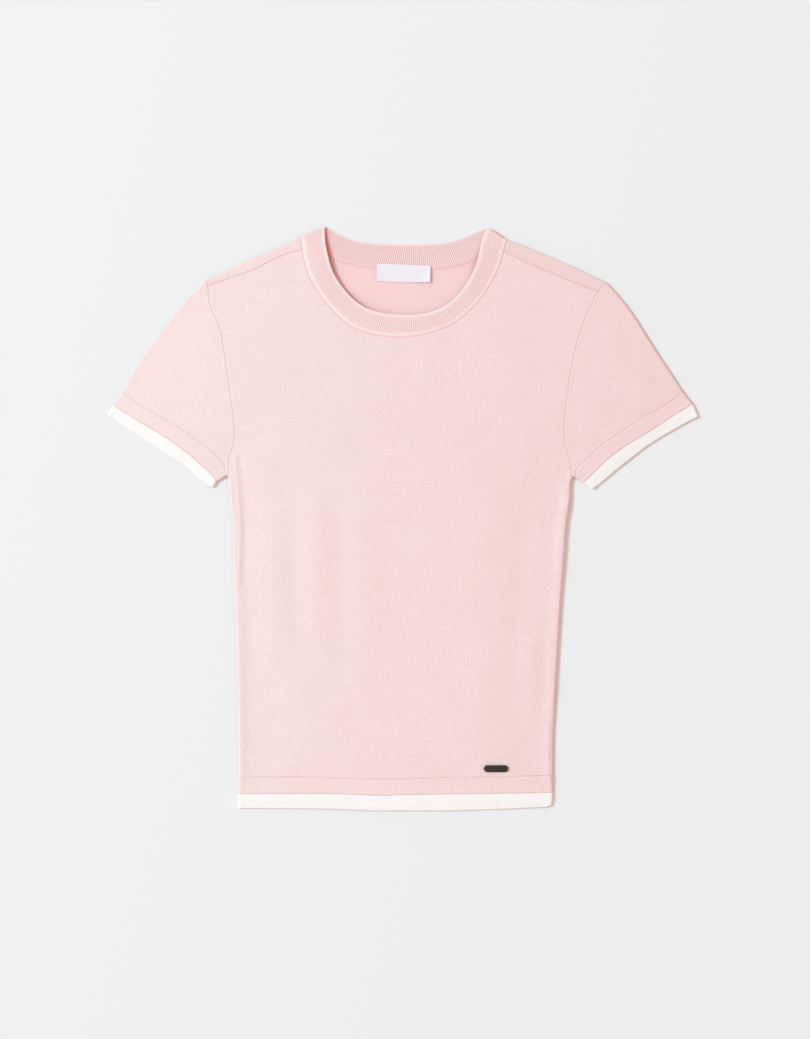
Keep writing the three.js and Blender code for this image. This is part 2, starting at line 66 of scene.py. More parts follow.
# the garment's lines, as it lies
bothSides = ("leftX", "leftY", "rightX", "rightY")
sideLines = {
    "shoulderFold": table(bothSides, [
        (-181.5, 220, 188, 217), (-159, 230.3, 167, 227), (-136, 241, 144, 237.5),
        (-113, 250.5, 117, 249), (-94, 259, 96, 257),
    ]),
    "shoulderSeam": table(bothSides, [
        (-179.5, 214, 179.8, 209.3), (-158, 222.1, 165, 214.8), (-136, 229.8, 144, 223),
        (-113, 241.5, 117, 234.5), (-92.6, 248, 92.9, 246.4),
    ]),
    "armhole": table(bothSides, [
        (-181.5, 220, 188, 217), (-179.5, 214, 179.8, 209.3), (-177.4, 197.3, 173, 196),
        (-168.5, 176, 165.4, 178), (-164.2, 153, 157.5, 151), (-160, 123, 152, 119),
        (-155.5, 90, 148.5, 89), (-155.3, 71, 148.8, 71), (-160, 56.5, 154, 54),
        (-160.6, 39.5, 155.3, 38.5),
    ]),
    "bodySide": table(bothSides, [
        (-151.8, -238, 136.3, -236), (-151.9, -203, 136.5, -203), (-152.6, -167, 138, -167),
        (-153.4, -120, 140.6, -120), (-154.6, -75, 143.5, -75), (-156.8, -38, 146.3, -38),
        (-156.8, -5, 148.8, -3), (-159.8, 17, 152, 17), (-160.4, 36, 153.2, 35),
        (-160.6, 39.5, 155.3, 38.5),
    ]),
    "sleeveTop": table(bothSides, [
        (-181.5, 220, 188, 217), (-209, 190, 206, 196), (-229, 163.5, 234.5, 152),
        (-246, 139.5, 248.5, 131), (-257.7, 116.5, 257.5, 117),
    ]),
    "cuffSeam": table(bothSides, [
        (-257.7, 116.5, 257.5, 117), (-246, 107.3, 241.4, 104.4), (-225, 94.8, 220.3, 93),
        (-202.4, 82, 199.2, 79), (-190.2, 73.3, 187, 71), (-180, 66, 175, 60.4),
        (-171.4, 58.3, 167.3, 53.6), (-165.5, 52, 161.5, 49), (-163.2, 46, 158.8, 44),
        (-163.6, 38.8, 158.9, 37.6),
    ]),
    "cuffEdge": table(bothSides, [
        (-266.8, 104.8, 266.8, 105.8), (-246, 91.8, 248.5, 94.6), (-225, 79.2, 227.3, 80.5),
        (-205.2, 66, 206.2, 67.8), (-193.4, 56.4, 189.3, 55.5), (-185.5, 49.7, 181.5, 48),
        (-179.3, 44.3, 175.7, 42.3), (-175.5, 40.5, 171, 38), (-172.8, 37.5, 168, 35.3),
        (-171.6, 33.9, 165.9, 33),
    ]),
    "sleeveEnd": table(bothSides, [
        (-271.8, 96, 271.7, 94.6), (-252.7, 82, 248.5, 82), (-231.7, 69.2, 227.3, 69.2),
        (-210.5, 55.2, 204.2, 51.7), (-200.5, 48.9, 195, 44.3), (-194, 43, 188.5, 38.8),
        (-188.7, 38.2, 183.5, 34.6), (-183.5, 33.5, 180, 31.8), (-179, 30.2, 177, 29.4),
        (-174.4, 29.4, 174.2, 27.3),
    ]),
}
neckLines = {
    "frontNeckSeam": [
        (-94, 259), (-92.6, 248), (-88.2, 228.4), (-80.9, 213.8), (-72, 200.6), (-61.8, 189),
        (-50, 178.8), (-34, 171.2), (-13.4, 167.5), (4.2, 167.5), (23.3, 170.5), (40.8, 176.4),
        (55.6, 186), (70.2, 200.6), (82, 218.2), (89.2, 233), (92.9, 246.4), (96, 257),
    ],
    "frontNeckEdge": [
        (-72, 269), (-71.4, 254.8), (-69.5, 244.6), (-65, 228.4), (-57.2, 215.3), (-47.2, 203.5),
        (-33, 193.6), (-17, 189.2), (0, 187.7), (15, 188.2), (28, 191), (41, 197.6), (52.6, 208),
        (61.4, 221), (67.3, 234.3), (70.6, 247), (72.4, 256), (74.6, 263.5), (79, 268.6),
    ],
    "backNeckEdge": [
        (-72, 269), (-59, 262), (-46, 256.8), (-31, 254), (-16, 253), (19, 253),
        (40.8, 254.8), (57, 260), (70, 266), (79, 268.6),
    ],
    "backNeckSeam": [
        (-94, 259), (-84, 250), (-69.2, 241.7), (-54.5, 236.5), (-39.8, 233), (-25, 230.6),
        (0, 229.6), (26, 229.6), (45, 232), (63, 236.7), (80, 245), (96, 257),
    ],
}
hemHeights = table(("across", "seamY", "edgeY", "bottomY"), [
    (0, -238, -253, -266.3), (0.2, -237.5, -252.6, -266.5), (0.35, -238.8, -253.2, -267.5),
    (0.44, -239.6, -254.4, -268.6), (0.52, -239.3, -253.8, -268.4), (0.68, -237.9, -253.1, -268.4),
    (0.83, -237.4, -252.6, -267.2), (1, -236, -251.8, -265),
])
hemEnds = {"seamY": (-151.8, 136.3), "edgeY": (-151.6, 136.3), "bottomY": (-151.4, 135.6)}

# how the upper layer lies on the lower one
air = {"rise": 1.6, "margin": 2, "reach": 70, "waveReach": 23}
waves = table(("x", "y", "turn", "length", "width", "rise"), [  # turn in degrees from Y
    (-122, -50, -2, 170, 15, 0.9), (-78, -55, -3, 160, 14, 0.7), (-35, -60, -3, 170, 15, 0.8),
    (-100, -48, -2, 150, 10, -0.5), (-57, -58, -3, 150, 10, -0.5), (62, -20, 4, 120, 22, 0.5),
    (74, -146, 0, 80, 15, 0.6), (108, -60, 3, 150, 12, -0.5), (120, -140, -2, 110, 12, 0.6),
    (-205, 150, 38, 90, 18, 0.7), (210, 135, -40, 90, 18, 0.8), (-20, 120, 84, 150, 20, 0.4),
])
uneven = {"rise": 0.22, "size": 26, "seed": 4.7}  # slight unevenness everywhere


def lineLengths(line):
    return np.concatenate([[0], np.cumsum(np.linalg.norm(np.diff(line, axis=0), axis=1))])


def lengthOf(line):
    return lineLengths(line)[-1]


def atFractions(line, fractions):
    reached = lineLengths(line)
    wanted = np.asarray(fractions) * reached[-1]
    return np.stack([np.interp(wanted, reached, line[:, k]) for k in range(line.shape[1])], axis=1)


def smoothLine(points, soften=3.0, step=0.5, samples=24):
    p = np.array(points, float)
    p = np.vstack([2 * p[0] - p[1], p, 2 * p[-1] - p[-2]])
    dense = []
    for a, b, c, d in zip(p, p[1:], p[2:], p[3:]):
        t1 = np.linalg.norm(b - a) ** 0.5
        t2 = t1 + np.linalg.norm(c - b) ** 0.5
        t3 = t2 + np.linalg.norm(d - c) ** 0.5
        t = np.linspace(t1, t2, samples, endpoint=False)[:, None]
        ab = ((t1 - t) * a + t * b) / t1
        bc = ((t2 - t) * b + (t - t1) * c) / (t2 - t1)
        cd = ((t3 - t) * c + (t - t2) * d) / (t3 - t2)
        abc = ((t2 - t) * ab + t * bc) / t2
        bcd = ((t3 - t) * bc + (t - t1) * cd) / (t3 - t1)
        dense.append(((t2 - t) * abc + (t - t1) * bcd) / (t2 - t1))
    dense = np.vstack(dense + [p[-2:-1]])
    count = int(lengthOf(dense) / step) + 2
    even = atFractions(dense, np.linspace(0, 1, count))
    reach = min(int(3 * soften / step), count - 1)
    if reach < 1:
        return even
    kernel = np.exp(-((np.arange(-reach, reach + 1) * step / soften) ** 2) / 2)
    kernel /= kernel.sum()
    before = 2 * even[0] - even[1:reach + 1][::-1]
    after = 2 * even[-1] - even[-reach - 1:-1][::-1]
    padded = np.vstack([before, even, after])
    return np.stack([np.convolve(padded[:, k], kernel, "valid") for k in range(2)], axis=1)


sides = ("left", "right")
lines = {name: smoothLine(points) for name, points in neckLines.items()}
for name, (left, right) in hemEnds.items():
    points = [(left + (right - left) * row["across"], row[name]) for row in hemHeights]
    lines[name] = smoothLine(points, soften=8)
for name, rows in sideLines.items():
    for side in sides:
        lines[name, side] = smoothLine([(row[side + "X"], row[side + "Y"]) for row in rows])


def partOf(line, start, end):  # the stretch of a line between the points nearest to two others
    i, j = (int(np.argmin(np.linalg.norm(line - np.array(p), axis=1))) for p in (start, end))
    return line[i:j + 1] if i <= j else line[j:i + 1][::-1]


def distanceTo(points, line, spacing=None):
    if spacing:
        count = max(2, int(lengthOf(line) / spacing) + 1)
        line = atFractions(line, np.linspace(0, 1, count))
    nearest = np.full(len(points), np.inf)
    for a, b in zip(line, line[1:]):
        along = b - a
        reach = points - a
        t = np.clip(reach @ along / max(along @ along, 1e-12), 0, 1)
        nearest = np.minimum(nearest, ((reach - t[:, None] * along) ** 2).sum(1))
    return np.sqrt(nearest)


def smoothStep(t):
    t = np.clip(t, 0, 1)
    return t * t * (3 - 2 * t)


def bell(away, width):
    return np.exp(-((away / width) ** 2))


def unit(vectors):
    return vectors / np.maximum(np.linalg.norm(vectors, axis=-1, keepdims=True), 1e-12)


def nearLine(points, line, margin):
    return np.all((points > line.min(0) - margin) & (points < line.max(0) + margin), axis=1)


neckFolds = {
    side: np.array([lines["backNeckSeam"][end], lines["backNeckEdge"][end]])
    for side, end in (("left", 0), ("right", -1))
}
foldedEdges = [lines[name, side] for name in ("shoulderFold", "sleeveTop", "sleeveEnd", "bodySide")
               for side in sides]
foldedEdges += [lines["bottomY"], neckFolds["left"], neckFolds["right"]]
cuffLines = ("cuffSeam", "cuffEdge", "sleeveEnd")
for side in sides:
    foldedEdges.append(np.array([lines[name, side][-1] for name in ("armhole", *cuffLines)]))
    foldedEdges.append(np.array([lines[name, side][0] for name in cuffLines]))

sideRoll = {  # the panel stands higher beside its side folds, and on the right also at the fold itself
    "left": {"rise": 0.9, "offset": 2.5, "width": 6.5, "stand": 0.0, "settle": 0.0},
    "right": {"rise": 1.5, "offset": 1.6, "width": 5.5, "stand": 1.0, "settle": 0.4},
}
neckLift = table(("x", "y", "radius", "rise"), [
    (-68, 240, 21, 2.3), (68, 238, 24, 0.9), (0, 189, 40, 0.4),
])
creases = table(("path", "width", "rise"), [  # a soft trough and a ridge at the left side
    ([(-150, 56), (-149, 45), (-147.5, 30), (-146.2, 15), (-145.2, -10), (-146.5, -60)], 2.4, -0.5),
    ([(-154.5, 56), (-153.4, 45), (-152, 30), (-150.8, 15), (-149.8, -10), (-150.5, -50)], 1.9, 0.6),
])
hipRise = {"from": -200, "over": 40}  # heights between which the right side fold comes up off the floor
hipSwell = {"from": -80, "over": 70}  # and between which its roll grows to the full height
armRise = {"from": 60, "over": 50}  # the roll ends at the underarm
rollEase, liftEase = 2.5, 12  # how far from an edge a roll or a lift reaches its full height


def loft(points):
    edge = np.full(len(points), np.inf)
    for line in foldedEdges:
        edge = np.minimum(edge, distanceTo(points, line, 4))
    inside = np.maximum(0, edge - air["margin"])
    rise = air["rise"] * smoothStep(inside / air["reach"])
    settled = smoothStep(inside / air["waveReach"])
    for wave in waves:
        turn = math.radians(wave["turn"])
        dx, dy = points[:, 0] - wave["x"], points[:, 1] - wave["y"]
        across = dx * math.cos(turn) - dy * math.sin(turn)
        along = dx * math.sin(turn) + dy * math.cos(turn)
        shape = np.exp(-((across / wave["width"]) ** 2) - (2 * along / wave["length"]) ** 4)
        rise += wave["rise"] * shape * settled
    y = points[:, 1]
    for side in sides:
        away = distanceTo(points, lines["bodySide", side], 4)
        look = sideRoll[side]
        stand = look["stand"] * smoothStep((y - hipRise["from"]) / hipRise["over"])
        atEdge = stand + (1 - stand) * smoothStep(edge / rollEase)
        swell = 1 - look["settle"] * (1 - smoothStep((y - hipSwell["from"]) / hipSwell["over"]))
        roll = bell(away - look["offset"], look["width"])
        rise += look["rise"] * roll * atEdge * swell * smoothStep((armRise["from"] - y) / armRise["over"])
    for lift in neckLift:
        away = np.hypot(points[:, 0] - lift["x"], y - lift["y"])
        rise += lift["rise"] * bell(away, lift["radius"]) * smoothStep(edge / liftEase)
    for crease in creases:
        away = distanceTo(points, smoothLine(crease["path"], 4, 2))
        rise += crease["rise"] * bell(away, crease["width"])
    size = uneven["size"]
    bumps = [noise.noise(Vector((x / size, y / size, uneven["seed"]))) for x, y in points]
    rise += uneven["rise"] * np.array(bumps) * settled
    return np.maximum(0, rise)


# each seam is a groove between two round edges, with a ridge beside it
seamLooks = table(("name", "piece", "ridge", "offset", "width", "drop"), [
    ("armhole", "sleeve", 0.16, 1.4, 0.65, 0.12),
    ("armhole", "panel", 0.06, 1.5, 0.8, 0.12),
    ("shoulderSeam", "panel", 0.04, 1.8, 1.0, 0.18),
    ("frontNeckSeam", "neckband", 0.36, 2.1, 1.1, 0.2),
    ("frontNeckSeam", "panel", 0.0, 2.0, 1.0, 0.22),
    ("frontNeckEdge", "neckband", 0.12, 1.5, 0.9, 0.0),
    ("cuffSeam", "sleeve", 0.03, 2.0, 1.0, 0.1),
    ("cuffSeam", "cuff", 0.08, 1.9, 1.0, 0.1),
    ("cuffEdge", "cuff", 0.15, 0.8, 1.1, 0.0),
    ("cuffEdge", "tipping", 0.0, 1.0, 1.0, 0.08),
    ("seamY", "panel", 0.03, 2.0, 1.0, 0.1),
    ("seamY", "hem", 0.08, 1.9, 1.0, 0.1),
    ("edgeY", "hem", 0.25, 0.8, 1.1, 0.0),
    ("edgeY", "tipping", 0.0, 1.0, 1.0, 0.2),
])
seamDropWidth, seamReach = 0.9, 8  # beyond its reach a seam changes nothing
openEnd = {"drop": 0.7, "width": 5, "fade": 5, "start": 1.5}  # the two layers close at the open ends
openEnds = [("sleeveEnd", "cuffEdge", side) for side in sides]
openEnds = [(lines[end, side], lines[above, side]) for end, above, side in openEnds]
openEnds.append((lines["bottomY"], lines["edgeY"]))


def seamLines(name):
    return [lines[key] for key in lines if key == name or key[0] == name]


def seamProfile(points, piece):
    rise = np.zeros(len(points))
    for look in seamLooks:
        if look["piece"] != piece:
            continue
        for line in seamLines(look["name"]):
            near = nearLine(points, line, seamReach)
            if not near.any():
                continue
            away = distanceTo(points[near], line)
            rise[near] += look["ridge"] * bell(away - look["offset"], look["width"])
            rise[near] -= look["drop"] * bell(away, seamDropWidth)
    for line, above in (openEnds if piece == "tipping" else []):
        close = bell(distanceTo(points, line, 2), openEnd["width"])
        for k in (0, -1):
            away = distanceTo(points, np.array([line[k], above[k]]))
            close *= smoothStep((away - openEnd["start"]) / openEnd["fade"])
        rise -= openEnd["drop"] * close
    return rise


seamAndShadeTints = table(("name", "upper", "lower", "width"), [  # how strongly each seam tints the two layers, partly the seam line's own colour and partly painted shade in the grooves and under the pink edges at the white tipping
    ("armhole", 0.5, 0.5, 0.8), ("shoulderSeam", 1.1, 0.0, 0.7), ("frontNeckSeam", 1.1, 0.0, 0.7),
    ("backNeckSeam", 0.0, 1.35, 1.1), ("cuffSeam", 0.2, 0.2, 0.8), ("cuffEdge", 0.45, 0.45, 0.8),
    ("seamY", 0.3, 0.3, 0.8), ("edgeY", 0.45, 0.45, 0.8),
])
tintReach = 6


def seamAndShadeCloseness(points, layer):
    flat = points[..., :2].reshape(-1, 2)
    close = np.zeros(len(flat))
    for tint in seamAndShadeTints:
        for line in seamLines(tint["name"]):
            near = nearLine(flat, line, tintReach)
            if tint[layer] and near.any():
                here = tint[layer] * bell(distanceTo(flat[near], line), tint["width"])
                close[near] = np.maximum(close[near], here)
    return close.reshape(points.shape[:-1])


neckCreaseShade = {  # painted shade on the cloth inside the neck, close to its front edge, where only light off the cloth reaches
    "width": 3.0, "low": 0.35, "high": 0.5, "start": 205, "over": 45,
    "right": 0.5, "rightY": 237, "rightReach": 11, "turn": -45, "turnOver": 45,
}


def creaseShadeCloseness(points):
    flat = points[..., :2].reshape(-1, 2)
    look = neckCreaseShade
    close = bell(distanceTo(flat, lines["frontNeckEdge"], 1.5), look["width"])
    x, y = flat[:, 0], flat[:, 1]
    left = look["low"] + look["high"] * smoothStep((y - look["start"]) / look["over"])
    right = look["right"] * bell(y - look["rightY"], look["rightReach"])
    rightward = smoothStep((x - look["turn"]) / look["turnOver"])
    return (close * (left * (1 - rightward) + right * rightward)).reshape(points.shape[:-1])


def raised(flat, z):
    return np.concatenate([flat, np.broadcast_to(z, flat.shape[:-1])[..., None]], axis=-1)


def upper(points, piece):
    flat = points.reshape(-1, 2)
    z = cloth["upperMiddle"] + loft(flat) + seamProfile(flat, piece)
    return raised(points, z.reshape(points.shape[:-1]))


def lower(points):
    return raised(points, cloth["lowerMiddle"])


class Sheet:  # the middle surface of a piece of cloth: points, four-sided faces and their map
    def __init__(self):
        self.points = np.zeros((0, 3))
        self.marks = {}
        self.faces = []
        self.maps = []

    def add(self, points, **marks):
        flat = points.reshape(-1, 3)
        first = len(self.points)
        self.points = np.vstack([self.points, flat])
        for name in set(self.marks) | set(marks):
            old = self.marks.get(name, np.zeros(first))
            value = np.broadcast_to(marks.get(name, 0.0), points.shape[:-1]).reshape(-1)
            self.marks[name] = np.concatenate([old, value])
        return np.arange(first, first + len(flat)).reshape(points.shape[:-1])

    def weave(self, index, uv, flip=False):
        corners = [index[:-1, :-1], index[:-1, 1:], index[1:, 1:], index[1:, :-1]]
        places = [uv[:-1, :-1], uv[:-1, 1:], uv[1:, 1:], uv[1:, :-1]]
        faces = np.stack([c.reshape(-1) for c in corners], axis=1)
        maps = np.stack([c.reshape(-1, 2) for c in places], axis=1)
        self.faces.append(faces[:, ::-1] if flip else faces)
        self.maps.append(maps[:, ::-1] if flip else maps)

    def normals(self, faces):
        p = self.points
        square = np.cross(p[faces[:, 2]] - p[faces[:, 0]], p[faces[:, 3]] - p[faces[:, 1]])
        total = np.zeros_like(p)
        for k in range(4):
            np.add.at(total, faces[:, k], square)
        return unit(total)

    def mesh(self, name, wall=cloth["wall"], rim=cloth["rimReach"]):
        faces, maps = np.vstack(self.faces), np.concatenate(self.maps)
        p, n, count = self.points, self.normals(faces), len(self.points)
        a = faces.reshape(-1)
        b = np.roll(faces, -1, axis=1).reshape(-1)
        uvA = maps.reshape(-1, 2)
        uvB = np.roll(maps, -1, axis=1).reshape(-1, 2)
        open_ = ~np.isin(a * count + b, b * count + a)
        a, b, uvA, uvB = a[open_], b[open_], uvA[open_], uvB[open_]
        outward = np.zeros_like(p)
        push = unit(np.cross(p[b] - p[a], n[a] + n[b]))
        np.add.at(outward, a, push)
        np.add.at(outward, b, push)
        rimPoints = np.unique(np.concatenate([a, b]))
        place = np.zeros(count, int)
        place[rimPoints] = np.arange(len(rimPoints))
        out = unit(outward[rimPoints])
        vertices = [p + n * wall / 2, p - n * wall / 2]
        inside = [np.zeros(count), np.ones(count)]
        source = [np.arange(count), np.arange(count)]
        rings = [lambda i: i]
        steps = cloth["rimSteps"]
        for k in range(1, steps):
            angle = math.pi * k / steps
            ring = p[rimPoints] + n[rimPoints] * wall / 2 * math.cos(angle) + out * rim * math.sin(angle)
            first = sum(len(v) for v in vertices)
            rings.append(lambda i, first=first: first + place[i])
            vertices.append(ring)
            inside.append(np.full(len(ring), k / steps))
            source.append(rimPoints)
        rings.append(lambda i: i + count)
        allFaces = [faces, faces[:, ::-1] + count]
        allMaps = [maps, maps[:, ::-1]]
        for near, far in zip(rings, rings[1:]):
            allFaces.append(np.stack([near(b), near(a), far(a), far(b)], axis=1))
            allMaps.append(np.stack([uvB, uvA, uvA, uvB], axis=1))
        vertices = np.vstack(vertices) * metre
        source = np.concatenate(source)
        marks = {key: value[source] for key, value in self.marks.items()}
        marks["inside"] = np.concatenate(inside)
        return quadMesh(name, vertices, np.vstack(allFaces), np.concatenate(allMaps) * metre, marks)


def setMarks(mesh, marks):
    for name, values in marks.items():
        mark = mesh.attributes.new(name, "FLOAT", "POINT")
        mark.data.foreach_set("value", values.astype(np.float32))


def quadMesh(name, vertices, faces, maps, marks):
    mesh = bpy.data.meshes.new(name)
    mesh.vertices.add(len(vertices))
    mesh.vertices.foreach_set("co", vertices.astype(np.float32).ravel())
    mesh.loops.add(faces.size)
    mesh.loops.foreach_set("vertex_index", faces.astype(np.int32).ravel())
    mesh.polygons.add(len(faces))
    mesh.polygons.foreach_set("loop_start", np.arange(0, faces.size, 4, dtype=np.int32))
    mesh.polygons.foreach_set("use_smooth", np.ones(len(faces), bool))
    uv = mesh.uv_layers.new(name="cloth")
    uv.data.foreach_set("uv", maps.astype(np.float32).ravel())
    setMarks(mesh, marks)
    mesh.update(calc_edges=True)
    mesh.validate()
    return mesh


def addObject(name, data):
    added = bpy.data.objects.new(name, data)
    bpy.context.scene.collection.objects.link(added)
    return added


def finishPiece(name, mesh, slot, replaces=(), finish=None):
    piece = addObject(name, mesh)
    mesh.materials.clear()
    mesh.materials.append(finish or finishes[slot])
    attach(piece, "root")
    if replaces:
        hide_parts(*replaces)
    print("made", name, "with", sum(len(f.vertices) - 2 for f in mesh.polygons), "triangles")
    return piece


def gradedSteps(length, grading):  # fractions from 0 to 1, closer together near both ends
    fine, coarse, band = gradings[grading]
    steps = [0.0]
    while steps[-1] < length - fine / 2:
        edge = max(0, min(steps[-1], length - steps[-1]))
        steps.append(steps[-1] + fine + (coarse - fine) * min(1, edge / band))
    return np.array(steps) / steps[-1]


def patchLoop(patch):
    return np.vstack([patch["start"], patch["last"][1:], patch["end"][::-1][1:], patch["first"][::-1][1:-1]])


sharpTurn, cornerReach, cornerLeast = 0.2, 8, 0.05  # the sine of a sharp turn, and what it can overtake


def insetPatch(patch, inset):
    loop = patchLoop(patch)
    spread = {name: np.broadcast_to(inset[name], (len(patch[name]) - 1,)) for name in patch}
    distance = np.concatenate([spread["start"], spread["last"], spread["end"][::-1], spread["first"][::-1]])
    along = unit(np.roll(loop, -1, axis=0) - loop)
    area = np.sum(loop[:, 0] * np.roll(loop[:, 1], -1) - loop[:, 1] * np.roll(loop[:, 0], -1))
    n1 = np.stack([-along[:, 1], along[:, 0]], axis=1) * np.sign(area)
    n0, d1, d0 = np.roll(n1, 1, axis=0), distance[:, None], np.roll(distance, 1)[:, None]
    turn = (n0[:, 0] * n1[:, 1] - n0[:, 1] * n1[:, 0])[:, None]
    mean = unit(n0 + n1) * (d0 + d1) / 2
    sharp = np.abs(turn) > sharpTurn
    meeting = (d0 * n1[:, ::-1] - d1 * n0[:, ::-1]) * (1, -1)
    moved = loop + np.where(sharp, meeting / np.where(sharp, turn, 1), mean)
    ends = np.cumsum([len(patch[name]) - 1 for name in ("start", "last", "end")])
    breaks = sorted({0, *ends.tolist(), *np.flatnonzero(sharp).tolist()}) + [len(loop)]
    closed, moved = np.vstack([loop, loop[:1]]), np.vstack([moved, moved[:1]])
    for i, j in zip(breaks, breaks[1:]):  # points that a corner overtook go, and the rest spread evenly
        if j - i < 2:
            continue
        inner, reached = moved[i + 1:j], lineLengths(closed[i:j + 1])
        startWay, endWay = unit(closed[i + 1] - closed[i]), unit(closed[j] - closed[j - 1])
        before, after = reached[1:-1], reached[-1] - reached[1:-1]
        passed = ((inner - moved[i]) @ startWay > cornerLeast) | (before > cornerReach)
        passed &= ((moved[j] - inner) @ endWay > cornerLeast) | (after > cornerReach)
        kept = np.vstack([moved[i:i + 1], inner[passed], moved[j:j + 1]])
        moved[i:j + 1] = atFractions(kept, reached / reached[-1])
    moved = moved[:-1]
    c1 = len(patch["start"]) - 1
    c2 = c1 + len(patch["last"]) - 1
    c3 = c2 + len(patch["end"]) - 1
    return {
        "start": moved[:c1 + 1],
        "last": moved[c1:c2 + 1],
        "end": moved[c2:c3 + 1][::-1],
        "first": np.vstack([moved[c3:], moved[:1]])[::-1],
    }


def fillPatch(patch, across, along):
    u, v = across[None, :, None], along[:, None, None]
    start, end = patch["start"], patch["end"]
    base = start[None] * (1 - v) + end[None] * v
    firstCurve = patch["first"][:, None] - base[:, :1]
    lastCurve = patch["last"][:, None] - base[:, -1:]
    return base + firstCurve * (1 - u) ** cloth["sideFade"] + lastCurve * u ** cloth["sideFade"]


def bulgeAlong(fold, startSeam, endSeam, blendLength=4):
    along = np.gradient(fold, axis=0)
    square = unit(np.stack([along[:, 1], -along[:, 0]], axis=1))
    square *= np.sign(np.sum(square[len(square) // 2] * (startSeam + endSeam)))
    reached = lineLengths(fold)
    toStart = bell(reached, blendLength)[:, None]
    toEnd = bell(reached[-1] - reached, blendLength)[:, None]
    return unit(square * (1 - toStart) * (1 - toEnd) + startSeam * toStart + endSeam * toEnd)


def foldArc(below, above, bulge):  # from the lower layer round a fold to the upper one
    steps, radius = cloth["foldSteps"], cloth["foldRadius"]
    arc = []
    for k in range(1, steps):
        t = k / steps
        angle = math.pi * t
        flat = below * (1 - t) + above * t + bulge * radius * math.sin(angle)
        arc.append(raised(flat, cloth["lowerMiddle"] + radius - radius * math.cos(angle)))
    return np.stack(arc, axis=1)


foldTurn = np.sin(np.linspace(0, math.pi, cloth["foldSteps"] + 1)[1:-1])  # how far a fold's rows face out


def seamHeading(line, atEnd, steps=7):
    return unit(line[-1] - line[-1 - steps]) if atEnd else unit(line[0] - line[steps])


class Strand:  # one output of a node; + - * / and ** on it add Math nodes
    def __init__(self, nodes, socket):
        self.nodes = nodes
        self.socket = socket

    def math(self, operation, other=0.0, swapped=False):
        first, second = (other, self) if swapped else (self, other)
        return self.nodes.add("ShaderNodeMath", {"operation": operation}, {0: first, 1: second})

    def __add__(self, other):
        return self.math("ADD", other)

    def __sub__(self, other):
        return self.math("SUBTRACT", other)

    def __rsub__(self, other):
        return self.math("SUBTRACT", other, True)

    def __mul__(self, other):
        return self.math("MULTIPLY", other)

    def __truediv__(self, other):
        return self.math("DIVIDE", other)

    def __pow__(self, other):
        return self.math("POWER", other)

    __radd__, __rmul__ = __add__, __mul__


class Nodes:  # adds nodes to one tree
    def __init__(self, tree):
        self.tree = tree

    def add(self, kind, settings=None, inputs=None, output=0):
        node = self.tree.nodes.new(kind)
        for name, value in (settings or {}).items():
            setattr(node, name, value)
        for name, value in (inputs or {}).items():
            if isinstance(value, Strand):
                self.tree.links.new(value.socket, node.inputs[name])
            else:
                node.inputs[name].default_value = value
        return Strand(self, node.outputs[output]) if len(node.outputs) else None

    def mixColors(self, share, first, second):
        return self.add("ShaderNodeMix", {"data_type": "RGBA"}, {0: share, 6: first, 7: second}, 2)

    def axis(self, vector, k):
        return self.add("ShaderNodeSeparateXYZ", None, {0: vector}, k)

    def place(self):
        return self.add("ShaderNodeTexCoord", None, None, 3)

    def onCloth(self):
        spot = self.add("ShaderNodeUVMap", {"uv_map": "cloth"})
        return self.axis(spot, 0), self.axis(spot, 1)

    def mark(self, name):
        return self.add("ShaderNodeAttribute", {"attribute_name": name}, None, 2)

    def grain(self, vector, scale, detail, **others):
        inputs = {"Vector": vector, "Scale": scale, "Detail": detail, **others}
        return self.add("ShaderNodeTexNoise", {"noise_dimensions": "3D"}, inputs)

    def streaks(self, u, v, scale, detail):
        place = self.add("ShaderNodeCombineXYZ", None, {0: u * scale[0], 1: v * scale[1], 2: 0.0})
        return self.grain(place, 1.0, detail)

    def bump(self, height, strength, distance):
        inputs = {"Strength": strength, "Distance": distance, "Height": height}
        return self.add("ShaderNodeBump", None, inputs)


def newFinish(name):
    material = bpy.data.materials.new(name)
    material.use_nodes = True
    material.node_tree.nodes.clear()
    return material, Nodes(material.node_tree)


def closeFinish(nodes, **sockets):
    inputs = {name.replace("_", " "): value for name, value in sockets.items()}
    shader = nodes.add("ShaderNodeBsdfPrincipled", None, inputs)
    nodes.add("ShaderNodeOutputMaterial", None, {"Surface": shader})


def tone(r, g, b):
    return (r, g, b, 1.0)


fullTurn = 2 * math.pi


grains = {  # scale and detail of each noise
    "wander": (260, 2), "yarn": (1900, 3), "lumps": (420, 4), "cloud": (22, 2), "fleck": (850, 1),
    "thread": (3200, 3), "satin": (1400, 2), "metal": (700, 3),
}
streakScale, slubScale = (45, 900), (2500, 60)  # how often a streak comes across and along


